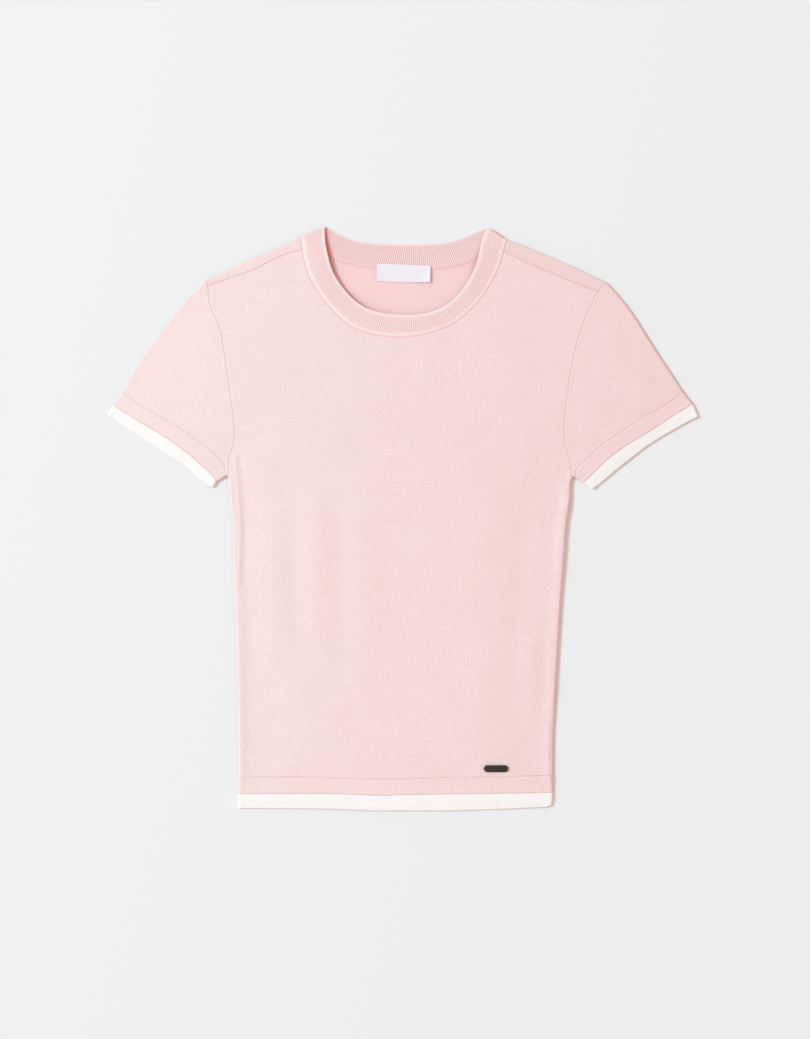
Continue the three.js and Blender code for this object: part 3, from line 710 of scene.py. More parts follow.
def knitFinish(name, look):
    material, n = newFinish(name)
    u, v = n.onCloth()
    inside, seam, fold = n.mark("inside"), n.mark("seam"), n.mark("fold")
    place = n.place()
    sideways = n.axis(place, 0)
    wander = n.grain(place, *grains["wander"])
    wale = u / look["wale"] + wander * look["wander"]
    course = v / look["course"] + wander * look["wander"]
    legs = wale.math("PINGPONG", 0.5) * 2
    across = (legs * math.pi).math("SINE")
    slanted = (course + legs * 0.6) * fullTurn
    stitch = across * (0.55 + 0.45 * slanted.math("COSINE"))
    arcs = (wale * fullTurn).math("COSINE")
    purl = 0.5 + 0.5 * ((course + arcs * 0.22) * fullTurn).math("COSINE")
    relief = stitch * (1 - inside) + purl * inside
    yarn = n.grain(place, *grains["yarn"], Roughness=0.6)
    lumps = n.grain(place, *grains["lumps"], Roughness=0.62)
    streaks = n.streaks(u, v, streakScale, 2)
    cloudy = n.grain(place, *grains["cloud"])
    pale = (lumps - 0.5) * look["mottle"] + (streaks - 0.5) * look["streak"] + (cloudy - 0.5) * look["cloud"]
    flecks = n.grain(place, *grains["fleck"])
    pale = pale + (stitch - 0.4) * look["stitchTone"] * (1 - inside) + (flecks - 0.5) * look["fleck"]
    # painted light and shade: the cloth is painted lighter towards the left and darker towards the right, and
    # painted shade darkens the fold edges and the right shoulder strip
    pale = pale + look["paleness"] - sideways * look["paintedSideLight"] - fold * look["paintedFoldShade"]
    share = n.add("ShaderNodeClamp", None, {"Value": pale})
    mixed = n.mixColors(share, tone(*look["deep"]), tone(*look["light"]))
    # the inner face takes a deeper tone, partly the reverse knit's own and partly painted shade for the cloth
    # seen inside the neck
    shadedKnit = n.mixColors(inside * look["reverseAndShadeShare"], mixed, tone(*look["reverseAndShadeColor"]))
    if look["ribShade"]:  # painted shade in the hollows between ribs, strongest inside the neck
        hollowShade = n.mark("hollowShade")
        outside, within = look["ribShade"]
        share = hollowShade * (outside + inside * (within - outside))
        shadedKnit = n.mixColors(share, shadedKnit, tone(*look["ribShadeColor"]))
    # painted shade in the crease under the neck's front edge
    shadedKnit = n.mixColors(n.mark("crease"), shadedKnit, tone(*look["creaseShadeColor"]))
    # the seam tone: partly the seam line's own colour, partly painted shade in the seam grooves and along the
    # pink edges above the white tipping
    color = n.mixColors(seam * look["seamAndShadeShare"], shadedKnit, tone(*look["seamAndShadeColor"]))
    height = relief * look["stitchHeight"] + yarn * look["fuzz"] + lumps * look["lump"]
    bump = n.bump(height, 1.0, 0.001)
    rough = look["rough"] + (lumps - 0.5) * 0.12
    closeFinish(n, Base_Color=color, Roughness=rough, Normal=bump, Sheen_Weight=look["sheen"],
                Sheen_Roughness=0.5, Sheen_Tint=tone(*look["light"]), Specular_IOR_Level=0.2)
    return material


# among these tones are painted light and shade: the inside tone partly paints shade inside the neck, the seam
# tone partly paints shade along the seams, the rib hollow and crease tones are painted shade, one setting
# paints the cloth lighter towards the left and another paints shade on the fold edges
pinkKnit = {
    "light": (0.912, 0.735, 0.728), "deep": (0.825, 0.615, 0.61),
    "reverseAndShadeColor": (0.90, 0.60, 0.60), "reverseAndShadeShare": 0.7,
    "seamAndShadeColor": (0.84, 0.40, 0.44), "seamAndShadeShare": 0.4, "ribShadeColor": (0.74, 0.44, 0.44),
    "creaseShadeColor": (0.68, 0.20, 0.22), "ribShade": None, "paleness": 0.42, "paintedSideLight": 1.3,
    "paintedFoldShade": 1.0, "mottle": 1.15, "streak": 0.6, "cloud": 0.35, "fleck": 1.2, "stitchTone": 0.25,
    "wale": 0.00125, "course": 0.00095, "wander": 0.12, "stitchHeight": 0.16, "fuzz": 0.05, "lump": 0.10,
    "rough": 0.9, "sheen": 0.1,
}
pinkRib = dict(
    pinkKnit, light=(0.905, 0.76, 0.74), deep=(0.82, 0.63, 0.615), reverseAndShadeColor=(0.86, 0.715, 0.70),
    reverseAndShadeShare=0.6, seamAndShadeShare=0.3, ribShade=(0.66, 1.0), mottle=0.6, stitchTone=0.15, stitchHeight=0.1,
)
# the white tipping also gets the painted side light and the partly painted seam shade
whiteKnit = dict(
    pinkKnit, light=(0.935, 0.91, 0.90), deep=(0.88, 0.845, 0.83), reverseAndShadeColor=(0.85, 0.80, 0.79),
    seamAndShadeColor=(0.80, 0.66, 0.65), seamAndShadeShare=0.5, paintedSideLight=0.8,
)
finishes = {
    "pink_knit": knitFinish("pink_jersey", pinkKnit),
    "pink_rib": knitFinish("pink_rib_knit", pinkRib),
    "white_knit": knitFinish("white_jersey", whiteKnit),
}


def threadFinish(name, color, dark):
    material, n = newFinish(name)
    fibres = n.grain(n.place(), *grains["thread"])
    shade = n.mixColors(fibres, tone(*dark), tone(*color))
    closeFinish(n, Base_Color=shade, Roughness=0.75 + fibres * 0.15, Normal=n.bump(fibres, 0.6, 0.0002),
                Specular_IOR_Level=0.3)
    return material


pinkThread = threadFinish("pink_linking_yarn", (0.92, 0.63, 0.645), (0.87, 0.52, 0.55))
print("finishes ready")


def flatTube(piece, patch, inset, along, acrossSteps, axis):  # a ring of cloth that lies flat
    inner = insetPatch(patch, inset)
    grid = fillPatch(inner, acrossSteps, along)
    firstBulge, lastBulge = (
        bulgeAlong(inner[name], seamHeading(patch["start"], atEnd), seamHeading(patch["end"], atEnd))
        for name, atEnd in (("first", False), ("last", True))
    )
    over, under = upper(grid, piece), lower(grid)
    arcLast = foldArc(grid[:, -1], grid[:, -1], lastBulge)[:, ::-1]
    arcFirst = foldArc(grid[:, 0], grid[:, 0], firstBulge)
    ring = np.concatenate([over, arcLast, under[:, ::-1], arcFirst], axis=1)
    sheet = Sheet()
    level = np.zeros(over.shape[1])
    # the fold mark, which the knit finish turns into painted shade on the fold edges
    fold = np.concatenate([level, foldTurn, level, foldTurn])
    index = sheet.add(ring, seam=seamAndShadeCloseness(ring, "upper"), fold=np.broadcast_to(fold, ring.shape[:-1]))
    index = np.concatenate([index, index[:, :1]], axis=1)
    arcLength = math.pi * cloth["foldRadius"]
    steps = np.arange(1, cloth["foldSteps"]) / cloth["foldSteps"] * arcLength
    w = grid @ np.array([axis[1], -axis[0]])
    w = w * np.sign(w[:, -1:] - w[:, :1])
    end = w[:, -1:]
    beneath = 2 * end - w[:, ::-1] + arcLength
    last = beneath[:, -1:]
    around = np.concatenate([w, end + steps, beneath, last + steps, last + arcLength], axis=1)
    v = grid @ np.array(axis)
    upEnd, upStart = np.repeat(v[:, -1:], len(steps), 1), np.repeat(v[:, :1], len(steps) + 1, 1)
    up = np.concatenate([v, upEnd, v[:, ::-1], upStart], axis=1)
    middle = over.shape[1] // 2
    a, b, c = over[0, middle], over[0, middle + 1], over[1, middle]
    sheet.weave(index, np.stack([around, up], axis=2), flip=np.cross(b - a, c - a)[2] < 0)
    return sheet


blunt = {"hem": (1.2, 3.5), "neck": (1.3, 3.5)}  # depth and reach
beside = 20  # steps along a line from a corner to the point that gives its direction


def bluntCorner(sheet, corner, near, far, depth, reach):  # pulls a sharp corner in to a round one
    inward = unit(unit(near - corner) + unit(far - corner))
    away = np.linalg.norm(sheet.points[:, :2] - corner, axis=1)
    sheet.points[:, :2] += inward * (depth * bell(away, reach))[:, None]


def straight(a, b, fractions):
    t = np.asarray(fractions)[:, None]
    return np.array(a) * (1 - t) + np.array(b) * t


def ringPatch(start, end, acrossSteps, along):
    return {
        "start": atFractions(start, acrossSteps), "first": straight(start[0], end[0], along),
        "end": atFractions(end, acrossSteps), "last": straight(start[-1], end[-1], along),
    }


def planArea(patch):
    x, y = patchLoop(patch).T
    return abs(np.sum(x * np.roll(y, -1) - y * np.roll(x, -1))) / 2 * metre ** 2


def makeBand(name, kind, slot, nodeName, top, bottom, inset, across, along, axis, blunted=None):
    patch = ringPatch(top, bottom, across, along)
    sheet = flatTube(kind, patch, inset, along, across, axis)
    if blunted:
        bluntCorner(sheet, *blunted)
    band = finishPiece(name, sheet.mesh(name), slot, [nodeName])


seamEdge, foldEdge = cloth["seamInset"], cloth["foldRadius"] + cloth["wall"] / 2
foldGaps = {"left": foldEdge, "right": foldEdge - 1.5}  # the right side lies rounder, so it reaches further
cuffHeight, hemHeight = 14.0, 15.0
sideLean = {"left": 0, "right": 0.6, "above": 4, "over": 60}  # how far the back reaches past the front
for side in sides:
    arm, seam, edge, end = (lines[name, side] for name in ("armhole", "cuffSeam", "cuffEdge", "sleeveEnd"))
    top = lines["sleeveTop", side]
    acrossSteps, along = (gradedSteps(lengthOf(line), "sleeve") for line in (arm, top))
    axis = unit(seam[len(seam) // 2] - arm[len(arm) // 2])
    folded = {"start": seamEdge, "end": seamEdge, "first": foldEdge, "last": foldEdge}
    patch = {
        "start": atFractions(arm, acrossSteps), "end": atFractions(seam, acrossSteps),
        "first": atFractions(top, along), "last": straight(arm[-1], seam[-1], along),
    }
    sheet = flatTube("sleeve", patch, folded, along, acrossSteps, axis)
    name = f"{side}_sleeve_cloth"
    sleeve = finishPiece(name, sheet.mesh(name), "pink_knit", [f"sleeve_{side}"])
    for name, kind, slot, nodeName, first, second, outerInset in (
        ("cuff", "cuff", "pink_knit", "cuff_band", seam, edge, seamEdge),
        ("cuff_tipping", "tipping", "white_knit", "cuff_tipping", edge, end, cloth["rimReach"]),
    ):
        bandAcross, bandAlong = gradedSteps(lengthOf(first), "cuffAcross"), gradedSteps(cuffHeight, "bandUp")
        inset = dict(folded, end=outerInset)
        makeBand(f"{side}_{name}_cloth", kind, slot, f"{nodeName}_{side}", first, second,
                 inset, bandAcross, bandAlong, axis)
print("sleeves and cuffs done")

bandAcross, bandAlong = gradedSteps(lengthOf(lines["seamY"]), "hemAcross"), gradedSteps(hemHeight, "bandUp")
hemFold = {"start": seamEdge, "first": foldGaps["left"], "last": foldGaps["right"]}
hemCorner = (lines["bottomY"][-1], lines["bottomY"][-beside], lines["edgeY"][-1], *blunt["hem"])
for name, kind, slot, nodeName, first, second, outerInset, blunted in (
    ("hem", "hem", "pink_knit", "hem_band", "seamY", "edgeY", seamEdge, None),
    ("hem_tipping", "tipping", "white_knit", "hem_tipping", "edgeY", "bottomY", cloth["rimReach"], hemCorner),
):
    inset = dict(hemFold, end=outerInset)
    makeBand(f"{name}_cloth", kind, slot, nodeName, lines[first], lines[second],
             inset, bandAcross, bandAlong, (0, 1), blunted)
print("hem done")


panel = {"height": 480, "narrow": 12, "sideSteps": 5}  # the inset narrows just below the underarm


def leanAt(side, height):  # height is measured from the hem's seam
    return sideLean[side] * smoothStep((height - sideLean["above"]) / sideLean["over"])


def bodyGrid(topParts, topInsets, sideUp, along, leans=False):
    top, inset, steps = [], [], []
    for part, gap in zip(topParts, topInsets):
        points = atFractions(part, gradedSteps(lengthOf(part), "panelAcross"))
        top.append(points if not top else points[1:])
        inset.append(np.full(len(points) - 1, gap))
        steps.append(len(points))
    top, inset = np.vstack(top), np.concatenate(inset)
    across = (top[:, 0] - top[0, 0]) / (top[-1, 0] - top[0, 0])
    seam = lines["seamY"]
    x = seam[0, 0] + (seam[-1, 0] - seam[0, 0]) * across
    start = np.stack([x, np.interp(x, seam[:, 0], seam[:, 1])], axis=1)
    body = {side: atFractions(lines["bodySide", side], along["lower"]) for side in sides}
    arm = {side: atFractions(sideUp[side], along["upper"])[1:] for side in sides}
    first, last = (np.vstack([body[side], arm[side]]) for side in sides)
    height = along["all"][1:] * panel["height"]
    settled = smoothStep((along["corner"] - along["all"][1:]) * panel["height"] / panel["narrow"])
    leftGaps, rightGaps = (
        seamEdge + (foldGaps[side] - leans * leanAt(side, height) - seamEdge) * settled for side in sides
    )
    patch = {"start": start, "end": top, "first": first, "last": last}
    inner = insetPatch(patch, {"start": seamEdge, "end": inset, "first": leftGaps, "last": rightGaps})
    return fillPatch(inner, across, along["all"]), steps, patch


def bodyRows(armLength):
    body = lengthOf(lines["bodySide", "left"])
    lowerSteps, upperSteps = gradedSteps(body, "panelUp"), gradedSteps(armLength, "panelUp")
    corner = body / (body + armLength)
    every = np.concatenate([lowerSteps * corner, corner + upperSteps[1:] * (1 - corner)])
    return {"lower": lowerSteps, "upper": upperSteps, "all": every, "corner": corner}


def roundSides(sheet, index, grid, rows, upward):  # half a fold along each side, where the panels meet
    radius, steps = cloth["foldRadius"], panel["sideSteps"]
    stop = math.pi / 2 - cloth["rimReach"] / radius
    for side, column in (("left", 0), ("right", -1)):
        body = grid[:rows, column]
        heading = seamHeading(lines["seamY"], side == "right")
        narrowed = smoothStep(lineLengths(body[::-1])[::-1] / panel["narrow"])[:, None]
        bulge = bulgeAlong(body, heading, heading) * (0.5 + 0.5 * narrowed)
        lean = leanAt(side, lineLengths(body))[:, None] * narrowed * (1 if upward else -1)
        layers = []
        for k in range(1, steps + 1):
            angle = stop * k / steps
            toMiddle = 1 - math.cos(angle)
            flat = body + bulge * (radius * math.sin(angle) + lean * toMiddle / 2)
            if upward:
                top = sheet.points[index[:rows, column], 2]
                z = top - (top - cloth["lowerMiddle"] - radius) * toMiddle
            else:
                z = cloth["lowerMiddle"] + radius * toMiddle
            layers.append(raised(flat, z))
        # the fold mark on the side strips, which the knit finish turns into painted shade
        facing = np.sin(np.arange(1, steps + 1) / steps * stop)
        strip = sheet.add(np.stack(layers, axis=1), seam=0.0, fold=np.broadcast_to(facing, (rows, steps)))
        whole = np.concatenate([index[:rows, column][:, None], strip], axis=1)
        reach = radius * stop * np.arange(steps + 1) / steps
        sign = -1 if side == "left" else 1
        uv = np.stack([body[:, :1] + sign * reach[None], np.repeat(body[:, 1:], steps + 1, 1)], axis=2)
        if side == "left":
            whole, uv = whole[:, ::-1], uv[:, ::-1]
        sheet.weave(whole, uv, flip=not upward)


def spanOf(patch):
    top = patch["end"]
    return np.ptp(top[:, 0]), top[:, 1].max() - patch["start"][:, 1].min()


def between(line, start, end):  # a stretch of a line, with its ends moved to the two points
    part = partOf(line, start, end).copy()
    part[0], part[-1] = start, end
    return part


armFront = {
    side: between(lines["armhole", side], lines["bodySide", side][-1], lines["shoulderSeam", side][0])
    for side in sides
}
armBack = {side: lines["armhole", side][::-1] for side in sides}
neckFront = between(lines["frontNeckSeam"], *(lines["shoulderSeam", side][-1] for side in sides))
rows = bodyRows(lengthOf(armFront["left"]))
frontGrid, _, frontPatch = bodyGrid(
    [lines["shoulderSeam", "left"], neckFront, lines["shoulderSeam", "right"][::-1]],
    [seamEdge, seamEdge, seamEdge], armFront, rows,
)
frontSheet = Sheet()
frontIndex = frontSheet.add(upper(frontGrid, "panel"), seam=seamAndShadeCloseness(frontGrid, "upper"), fold=0.0)
frontSheet.weave(frontIndex, frontGrid)
roundSides(frontSheet, frontIndex, frontGrid, len(rows["lower"]), True)
front = finishPiece("front_cloth", frontSheet.mesh("front_cloth"), "pink_knit", ["front_panel"])
spanX, spanY = spanOf(frontPatch)
spanX * metre
spanY * metre

rows = bodyRows(lengthOf(armBack["left"]))
backGrid, backSteps, backPatch = bodyGrid(
    [lines["shoulderFold", "left"], lines["backNeckSeam"], lines["shoulderFold", "right"][::-1]],
    [foldEdge, seamEdge, foldEdge], armBack, rows, True,
)
backSheet = Sheet()
backIndex = backSheet.add(lower(backGrid), seam=seamAndShadeCloseness(backGrid, "lower"), fold=0.0,
                          crease=creaseShadeCloseness(backGrid))
backSheet.weave(backIndex, backGrid, flip=True)
roundSides(backSheet, backIndex, backGrid, len(rows["lower"]), False)
wrapHeight = 10.0
shoulderShade = {"left": 0.0, "right": 0.5}  # painted shade on the strips over the shoulders, deeper on the right
overArea = overDepth = 0  # the cut that turns over the shoulders
for side in sides:
    fold, seam = lines["shoulderFold", side], lines["shoulderSeam", side]
    count = backSteps[0] if side == "left" else backSteps[2]
    top = backGrid[-1, :count] if side == "left" else backGrid[-1, -count:][::-1]
    topIndex = backIndex[-1, :count] if side == "left" else backIndex[-1, -count:][::-1]
    fractions = lineLengths(top) / lineLengths(top)[-1]
    down = gradedSteps(wrapHeight, "wrap")
    patch = ringPatch(fold, seam, fractions, down)
    overArea += planArea(patch)
    overDepth = max(overDepth, float(np.linalg.norm(fold[-1] - seam[-1])))
    inner = insetPatch(patch, {"start": foldEdge, "end": seamEdge, "first": seamEdge, "last": seamEdge})
    wrap = fillPatch(inner, fractions, down)
    neckFold = neckFolds[side][1] - neckFolds[side][0]
    neckBulge = unit(np.array([-neckFold[1], neckFold[0]]))
    neckBulge *= np.sign(neckBulge[1])
    bulge = bulgeAlong(inner["start"], unit(fold[0] - seam[0]), neckBulge)
    arc = foldArc(top, wrap[0], bulge)
    over = upper(wrap, "panel")
    layers = np.concatenate([arc.transpose(1, 0, 2), over], axis=0)
    facing = np.zeros(len(layers))
    facing[:len(foldTurn)] = foldTurn
    # the fold mark here also carries the painted shade of the shoulder strip
    facing = np.maximum(facing, shoulderShade[side])
    added = backSheet.add(layers, seam=seamAndShadeCloseness(layers, "upper"),
                          fold=np.broadcast_to(facing[:, None], layers.shape[:-1]))
    whole = np.concatenate([topIndex[None], added], axis=0)
    middle = count // 2
    reach = lineLengths(np.vstack([[*top[middle], cloth["lowerMiddle"]], layers[:, middle]]))
    uv = np.stack([np.repeat(top[None, :, 0], len(whole), 0), top[None, :, 1] + reach[:, None]], axis=2)
    backSheet.weave(whole, uv, flip=side == "left")
back = finishPiece("back_cloth", backSheet.mesh("back_cloth"), "pink_knit", ["back_panel"])
spanX, spanY = spanOf(backPatch)
spanX * metre
(spanY + overDepth) * metre
print("panels done")


# the neckband is a folded ribbed ring, its ribs raised by Geometry Nodes
neckband = {
    "height": 19.5, "ribPitch": 1.86, "ribHeight": 0.42, "plainBySeam": 3.2, "plainByEdge": 2.4, "fade": 1.2,
    "columnsPerRib": 8, "ridge": 0.35, "ridgeOffset": 2.0, "ridgeWidth": 1.0,
    "backBySeam": 2.4, "backByEdge": 1.8, "backShift": 0.25,  # inside the neck the plain strips are narrower
    "lastStep": 0.3,
}


def newTree(name, numbers, more=()):
    tree = bpy.data.node_groups.new(name, "GeometryNodeTree")
    for title, kind in (("Geometry", "Geometry"), *((number, "Float") for number in numbers), *more,
                        ("Material", "Material")):
        tree.interface.new_socket(title, in_out="INPUT", socket_type="NodeSocket" + kind)
    tree.interface.new_socket("Geometry", in_out="OUTPUT", socket_type="NodeSocketGeometry")
    n = Nodes(tree)
    given = tree.nodes.new("NodeGroupInput")
    return n, {socket.name: Strand(n, socket) for socket in given.outputs if socket.name}


def closeTree(n, geometry, material):
    finished = n.add("GeometryNodeSetMaterial", None, {"Geometry": geometry, "Material": material})
    n.tree.links.new(finished.socket, n.tree.nodes.new("NodeGroupOutput").inputs[0])
    return n.tree


def ribTree():
    n, taken = newTree("raised_ribs", ("Rib Pitch", "Rib Height", "Plain By Seam", "Plain By Edge", "Fade"))

    def mark(name):
        return n.add("GeometryNodeInputNamedAttribute", {"data_type": "FLOAT"}, {"Name": name})

    turns = mark("ribPlace") / taken["Rib Pitch"] * fullTurn
    profile = (0.5 - 0.5 * turns.math("COSINE")) ** 0.8
    ramps = []
    for place, plain in (("fromSeam", "Plain By Seam"), ("fromEdge", "Plain By Edge")):
        ramp = (mark(place) - taken[plain]) / taken["Fade"]
        ramps.append(n.add("ShaderNodeClamp", None, {"Value": ramp + 0.5}))
    strength = ramps[0] * ramps[1] * taken["Rib Height"]
    raised = profile * mark("ribUp") - (1 - profile) * mark("ribDown")
    offset = n.add("ShaderNodeVectorMath", {"operation": "SCALE"}, {
        0: n.add("GeometryNodeInputNormal"), "Scale": raised * strength})
    moved = n.add("GeometryNodeSetPosition", None, {"Geometry": taken["Geometry"], "Offset": offset})
    whole = n.add("GeometryNodeRealizeInstances", None, {"Geometry": moved})
    return closeTree(n, whole, taken["Material"])


def applyTree(name, mesh, tree, values):  # runs a tree on a mesh and gives the plain result
    carrier = addObject(name + "_base", mesh)
    modifier = carrier.modifiers.new("tree", "NODES")
    modifier.node_group = tree
    for item in tree.interface.items_tree:
        if item.item_type == "SOCKET" and item.in_out == "INPUT" and item.name in values:
            modifier[item.identifier] = values[item.name]
    carrier.update_tag()
    graph = bpy.context.evaluated_depsgraph_get()
    result = bpy.data.meshes.new_from_object(carrier.evaluated_get(graph))
    result.name = name
    bpy.data.objects.remove(carrier)
    return result


def bandPatch(seam, edge, seamSteps, along):
    patch = {
        "start": atFractions(seam, seamSteps), "first": straight(*neckFolds["left"], along),
        "end": atFractions(edge, seamSteps), "last": straight(*neckFolds["right"], along),
    }
    inset = {"start": seamEdge, "end": cloth["rimReach"], "first": foldEdge, "last": foldEdge}
    return patch, fillPatch(insetPatch(patch, inset), seamSteps, along)


bandAlong = gradedSteps(neckband["height"], "neckband")
bandAreas, halves = [], []
for seamName, edgeName in (("frontNeckSeam", "frontNeckEdge"), ("backNeckSeam", "backNeckEdge")):
    seam, edge = lines[seamName], lines[edgeName]
    length = (lengthOf(seam) + lengthOf(edge)) / 2
    ribs = round(length / neckband["ribPitch"])
    steps = np.linspace(0, 1, ribs * neckband["columnsPerRib"] + 1)
    patch, grid = bandPatch(seam, edge, steps, bandAlong)
    bandAreas.append(planArea(patch))
    shift = neckband["backShift"] if seamName == "backNeckSeam" else 0
    place = (steps * ribs + shift) * neckband["ribPitch"]
    halves.append({"grid": grid, "place": place, "length": length, "ribs": ribs})
over, under = halves
bulges = {}
for side, column in (("left", 0), ("right", -1)):
    fold = neckFolds[side][1] - neckFolds[side][0]
    square = unit(np.array([-fold[1], fold[0]]))
    bulges[side] = np.repeat((square * np.sign(square[1]))[None], len(bandAlong), 0)
backPoints = lower(under["grid"])
away = distanceTo(under["grid"].reshape(-1, 2), lines["backNeckSeam"], 2) - neckband["ridgeOffset"]
backPoints[..., 2] += neckband["ridge"] * bell(away, neckband["ridgeWidth"]).reshape(backPoints.shape[:-1])
arcRight = foldArc(under["grid"][:, -1], over["grid"][:, -1], bulges["right"])[:, ::-1]
arcLeft = foldArc(under["grid"][:, 0], over["grid"][:, 0], bulges["left"])
ring = np.concatenate([upper(over["grid"], "neckband"), arcRight, backPoints[:, ::-1], arcLeft], axis=1)
atArc, atFront, atBack = np.zeros(len(foldTurn)), np.ones(len(over["place"])), np.ones(len(under["place"]))
ribPlace = np.concatenate([over["place"], atArc, under["place"][::-1], atArc])
# the fold mark on the neckband's folds, which becomes painted shade
bandFold = np.concatenate([0 * atFront, foldTurn, 0 * atBack, foldTurn])
upShare = np.concatenate([atFront, atArc, -atBack, atArc])
acrossBand = bandAlong * neckband["height"]
shape = ring.shape[:-1]
bandSheet = Sheet()
bandIndex = bandSheet.add(
    ring,
    seam=np.where(upShare > -0.5, seamAndShadeCloseness(ring, "upper"), seamAndShadeCloseness(ring, "lower")),
    fold=np.broadcast_to(bandFold, shape),
    ribPlace=np.broadcast_to(ribPlace, shape),
    fromSeam=acrossBand[:, None] + neckband["backBySeam"] * (upShare < 0),
    fromEdge=neckband["height"] - acrossBand[:, None] + neckband["backByEdge"] * (upShare < 0),
    half=np.broadcast_to(upShare, shape),
    crease=creaseShadeCloseness(ring) * (upShare < 0),
)
edge = lines["frontNeckEdge"]
bluntCorner(bandSheet, edge[-1], neckFolds["right"][0], edge[-beside], *blunt["neck"])
bandIndex = np.concatenate([bandIndex, bandIndex[:, :1]], axis=1)
alongBand = lineLengths(ring[len(ring) // 2])
alongBand = np.append(alongBand, alongBand[-1] + neckband["lastStep"])
bandUv = [np.broadcast_to(place, bandIndex.shape) for place in (alongBand, acrossBand[:, None])]
bandSheet.weave(bandIndex, np.stack(bandUv, axis=2))
bandMesh = bandSheet.mesh("neckband_base")


def readMark(mesh, name):
    values = np.zeros(len(mesh.vertices), np.float32)
    mesh.attributes[name].data.foreach_get("value", values)
    return values


halfMark, insideMark = readMark(bandMesh, "half"), readMark(bandMesh, "inside")
outer, inner = insideMark < 0.01, insideMark > 0.99
ribUp = ((halfMark > 0.5) & outer) | ((halfMark < -0.5) & inner)
ribDown = (halfMark < -0.5) & outer
ribbed = smoothStep((readMark(bandMesh, "fromSeam") - neckband["plainBySeam"]) / neckband["fade"] + 0.5)
ribbed *= smoothStep((readMark(bandMesh, "fromEdge") - neckband["plainByEdge"]) / neckband["fade"] + 0.5)
# painted shade weights in the rib hollows
hollowShade = ribbed * (0.5 + 0.5 * np.cos(readMark(bandMesh, "ribPlace") / neckband["ribPitch"] * fullTurn))
setMarks(bandMesh, {"ribUp": ribUp, "ribDown": ribDown, "hollowShade": hollowShade})
bandMesh = applyTree("neckband_cloth", bandMesh, ribTree(), {
    "Rib Pitch": neckband["ribPitch"], "Rib Height": neckband["ribHeight"] * metre,
    "Plain By Seam": neckband["plainBySeam"], "Plain By Edge": neckband["plainByEdge"],
    "Fade": neckband["fade"], "Material": finishes["pink_rib"],
})
band = finishPiece("neckband_cloth", bandMesh, "pink_rib", ["neckband"])
bandLength = (over["length"] + under["length"]) * metre
sum(bandAreas) / bandLength
print("neckband done with", over["ribs"] + under["ribs"], "ribs")

label = {
    "top": [(-24, 234.7), (25.4, 232.9)], "bottom": [(-23.6, 219.3), (24.7, 218)], "length": 49.4,
    "wall": 0.5, "bow": 0.7, "restOnBand": 1.95, "restOnPanel": 1.5, "step": 0.2, "settle": 0.8,
    "lift": 1.5, "curl": 5, "fold": 1.3, "foldRise": 0.16, "foldFade": 0.3, "columns": 90, "rows": 34,
}
satin = {"warp": 0.00022, "weft": 0.00030, "deep": (0.74, 0.70, 0.76), "light": (0.86, 0.82, 0.88)}


def satinFinish(name):
    material, n = newFinish(name)
    u, v = n.onCloth()
    warp, weft = u / satin["warp"] * fullTurn, v / satin["weft"] * fullTurn
    weave = 0.5 + 0.25 * warp.math("COSINE") + 0.25 * (weft + warp * 0.5).math("COSINE")
    fibres = n.grain(n.place(), *grains["satin"])
    slubs = n.streaks(u, v, slubScale, 1)
    shade = n.mixColors(slubs * 0.6 + fibres * 0.4, tone(*satin["deep"]), tone(*satin["light"]))
    closeFinish(n, Base_Color=shade, Roughness=0.45 + fibres * 0.2, Sheen_Weight=0.15, Specular_IOR_Level=0.4,
                Normal=n.bump(weave + fibres * 0.4, 0.6, 0.0001))
    return material


finishes["label_satin"] = satinFinish("woven_satin")
u = np.linspace(0, 1, label["columns"])[None, :]
v = np.linspace(0, 1, label["rows"])[:, None]
top = straight(*label["top"], u[0])
bottom = straight(*label["bottom"], u[0])
flat = top[None] * (1 - v[..., None]) + bottom[None] * v[..., None]
flat[..., 1] -= label["bow"] * np.sin(math.pi * u) * v
drop = smoothStep((v - label["step"]) / label["settle"])
z = label["restOnBand"] * (1 - drop) + label["restOnPanel"] * drop + label["wall"] / 2
z = z + label["lift"] * u ** label["curl"] * v
fromEnd = np.minimum(u, 1 - u) * label["length"]
z = z + label["foldRise"] * (1 - smoothStep((fromEnd - label["fold"]) / label["foldFade"]))
labelSheet = Sheet()
labelIndex = labelSheet.add(raised(flat, z), seam=0.0)
labelSheet.weave(labelIndex, flat, flip=True)
labelMesh = labelSheet.mesh("label_cloth", label["wall"], label["wall"] / 2)
labelPiece = finishPiece("label_cloth", labelMesh, "label_satin", ["neck_label"])
print("label done")

# the badge near the hem is a plain bar
badge = {
    "x": 85.5, "y": -229.6, "length": 22.5, "width": 6.4, "height": 1.5, "edge": 0.55, "gap": 0.3,
    "crown": 0.12, "steps": 24, "rings": 6, "deep": (0.035, 0.033, 0.036), "light": (0.085, 0.08, 0.08),
    "brush": (60, 2600, 900),
}
finishes["dark_metal"], n = newFinish("dark_metal")
place = n.place()
brush = n.grain(n.add("ShaderNodeMapping", None, {"Vector": place, "Scale": badge["brush"]}), 1.0, 3)
shade = n.mixColors(n.grain(place, *grains["metal"]), tone(*badge["deep"]), tone(*badge["light"]))
closeFinish(n, Base_Color=shade, Roughness=0.28 + brush * 0.15, Metallic=1.0,
            Normal=n.bump(brush, 0.25, 0.0001))
reach = badge["length"] / 2 - badge["width"] / 2
angles = np.linspace(-math.pi / 2, math.pi / 2, badge["steps"])
rightEnd = np.stack([np.cos(angles), np.sin(angles)], axis=1)
outline = np.vstack([rightEnd, -rightEnd])
centres = np.repeat(np.array([[reach, 0], [-reach, 0]]), badge["steps"], axis=0)
floorZ = cloth["upperMiddle"] + cloth["wall"] / 2
levels = []
